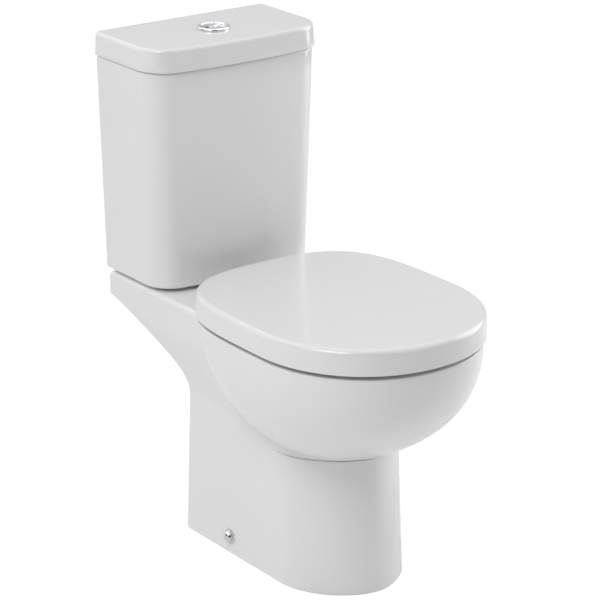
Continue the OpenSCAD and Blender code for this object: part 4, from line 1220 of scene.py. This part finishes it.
# %% Bezel
bezel_z0, bezel_z1, barrel_r = lid_high[2], bezel_high[2], bezel_r - 5
button_r, barrel_low = bezel_r - 7, mm_box("button_bezel")[0][2]
section = [(button_r, barrel_low), (barrel_r, barrel_low), (barrel_r, bezel_z0), (bezel_r - 0.5, bezel_z0)]
section += rounded(bezel_r - 2.4, bezel_z0 + 1.6, 2.4, -30, 78, 12)
section += [(bezel_r - 3.4, bezel_z1 - 0.02), (bezel_r - 4.0, bezel_z1)]
section += rounded(bezel_r - 4.6, bezel_z1 - 0.6, 0.6, 70, 150, 5)
section += [(button_r + 1.0, bezel_z1 - 1.6), (button_r + 0.35, bezel_z1 - 2.4), (button_r, bezel_z1 - 3.2)]
bezel = turned("flush_bezel", section, upright(0, valve_y), 128)
bezel_floor = upright_bar("bezel_floor", 0, valve_y, barrel_low, barrel_low + 3, barrel_r - 0.5)
combine(bezel, [bezel_floor], "UNION")
rod_y, rod_hole = 9, (barrel_low - 2, barrel_low + 5, 2.58, 32)
combine(bezel, [upright_bar("rod_hole", 0, valve_y + s * rod_y, *rod_hole) for s in (-1, 1)], "DIFFERENCE")
close_mesh(bezel)
soften(bezel, 30)
dress(bezel, "button_bezel")

# %% Buttons
def button_face(name, top, dish, soft_edge, keep):
    """A disc with a dished or domed face; keep says which side of the curved gap stays."""
    r = button_r - 0.1
    face = [(k * (r - 0.8), top - dish * (1 - (k ** 2))) for k in np.linspace(1, 0, 13)]
    section = [(0, bezel_z0 - 8), (r, bezel_z0 - 8)] + rounded(r - 0.8, top - 0.8, 0.8, 0, 80, 5) + face
    disc = close_mesh(turned(name, section, upright(0, valve_y), 128))
    gap_r, operation = (22.3, "DIFFERENCE") if keep == "front" else (21.9, "INTERSECT")
    curve = upright_bar("gap", 0, valve_y + 23, bezel_z0 - 40, bezel_z0 + 40, gap_r, 256)
    combine(disc, [curve], operation)
    edge = disc.modifiers.new("edge", "BEVEL")
    edge.width, edge.segments = soft_edge / 1000, 4
    edge.limit_method, edge.angle_limit = "ANGLE", math.radians(50)
    bake(disc)
    close_mesh(disc)
    soften(disc, 45)
    return disc


dress(button_face("full_button_face", bezel_z1 - 3.0, -0.9, 0.4, "front"), "full_flush_button")
dress(button_face("half_button_face", bezel_z1 - 0.9, -0.6, 1.1, "back"), "half_flush_button")

# %% [markdown]
# ## Screw caps
#
# Low on each side a screw holds the pan to its floor bracket. A washer ring lies on the clay and a
# small chrome dome snaps over the screw head. Both are turned shapes whose axis points sideways.

# %% Caps and washers
cap_low, cap_high = mm_box("screw_caps")
cap_out, cap_r = cap_high[0] - foot_half, (cap_high[2] - cap_low[2]) / 2


def pair(name, section, node, angle=35):
    """The same turned piece on the left and right side, as one mesh."""
    first = turned(name, section, sideways(1, foot_half, side_y, side_z), 64, angle)
    combine(first, [turned("other", section, sideways(-1, foot_half, side_y, side_z), 64, angle)], "UNION")
    close_mesh(first)
    soften(first, angle)
    return dress(first, node)


ring = [(3.15, 0), (12.6, 0), (13, 0.4), (12.8, 1.1), (12.2, 1.5), (3.15, 1.5)]
pair("cap_washers", ring, "screw_cap_washers")
dome = [(cap_r * math.cos(a), 2.8 + (cap_out - 2.8) * math.sin(a))
        for a in np.radians(np.linspace(12, 84, 10))]
socket = [(0, 5.0), (6.15, 5.0), (6.15, 1.5)]
pair("cap_domes", socket + [(cap_r, 1.5), (cap_r, 2.8)] + dome + [(0, cap_out)], "screw_caps", 30)
print("cap sticks out", round(cap_out, 2), "mm, radius", round(cap_r, 2))

# %% [markdown]
# ## Pieces that keep their own mesh
#
# Many small pieces were drawn true in the frame. They keep that mesh and only get their finish.

# %% Finish the rest of the frame
def keep(node):
    mesh = nodes[node].data
    mesh.materials.clear()
    mesh.materials.append(finishes[slot_of[node]])


kept = [n for n in nodes if nodes[n].visible_get() and not nodes[n].hide_render]
print("kept", len(kept))

# %% Finish the kept pieces
for node in kept:
    keep(node)
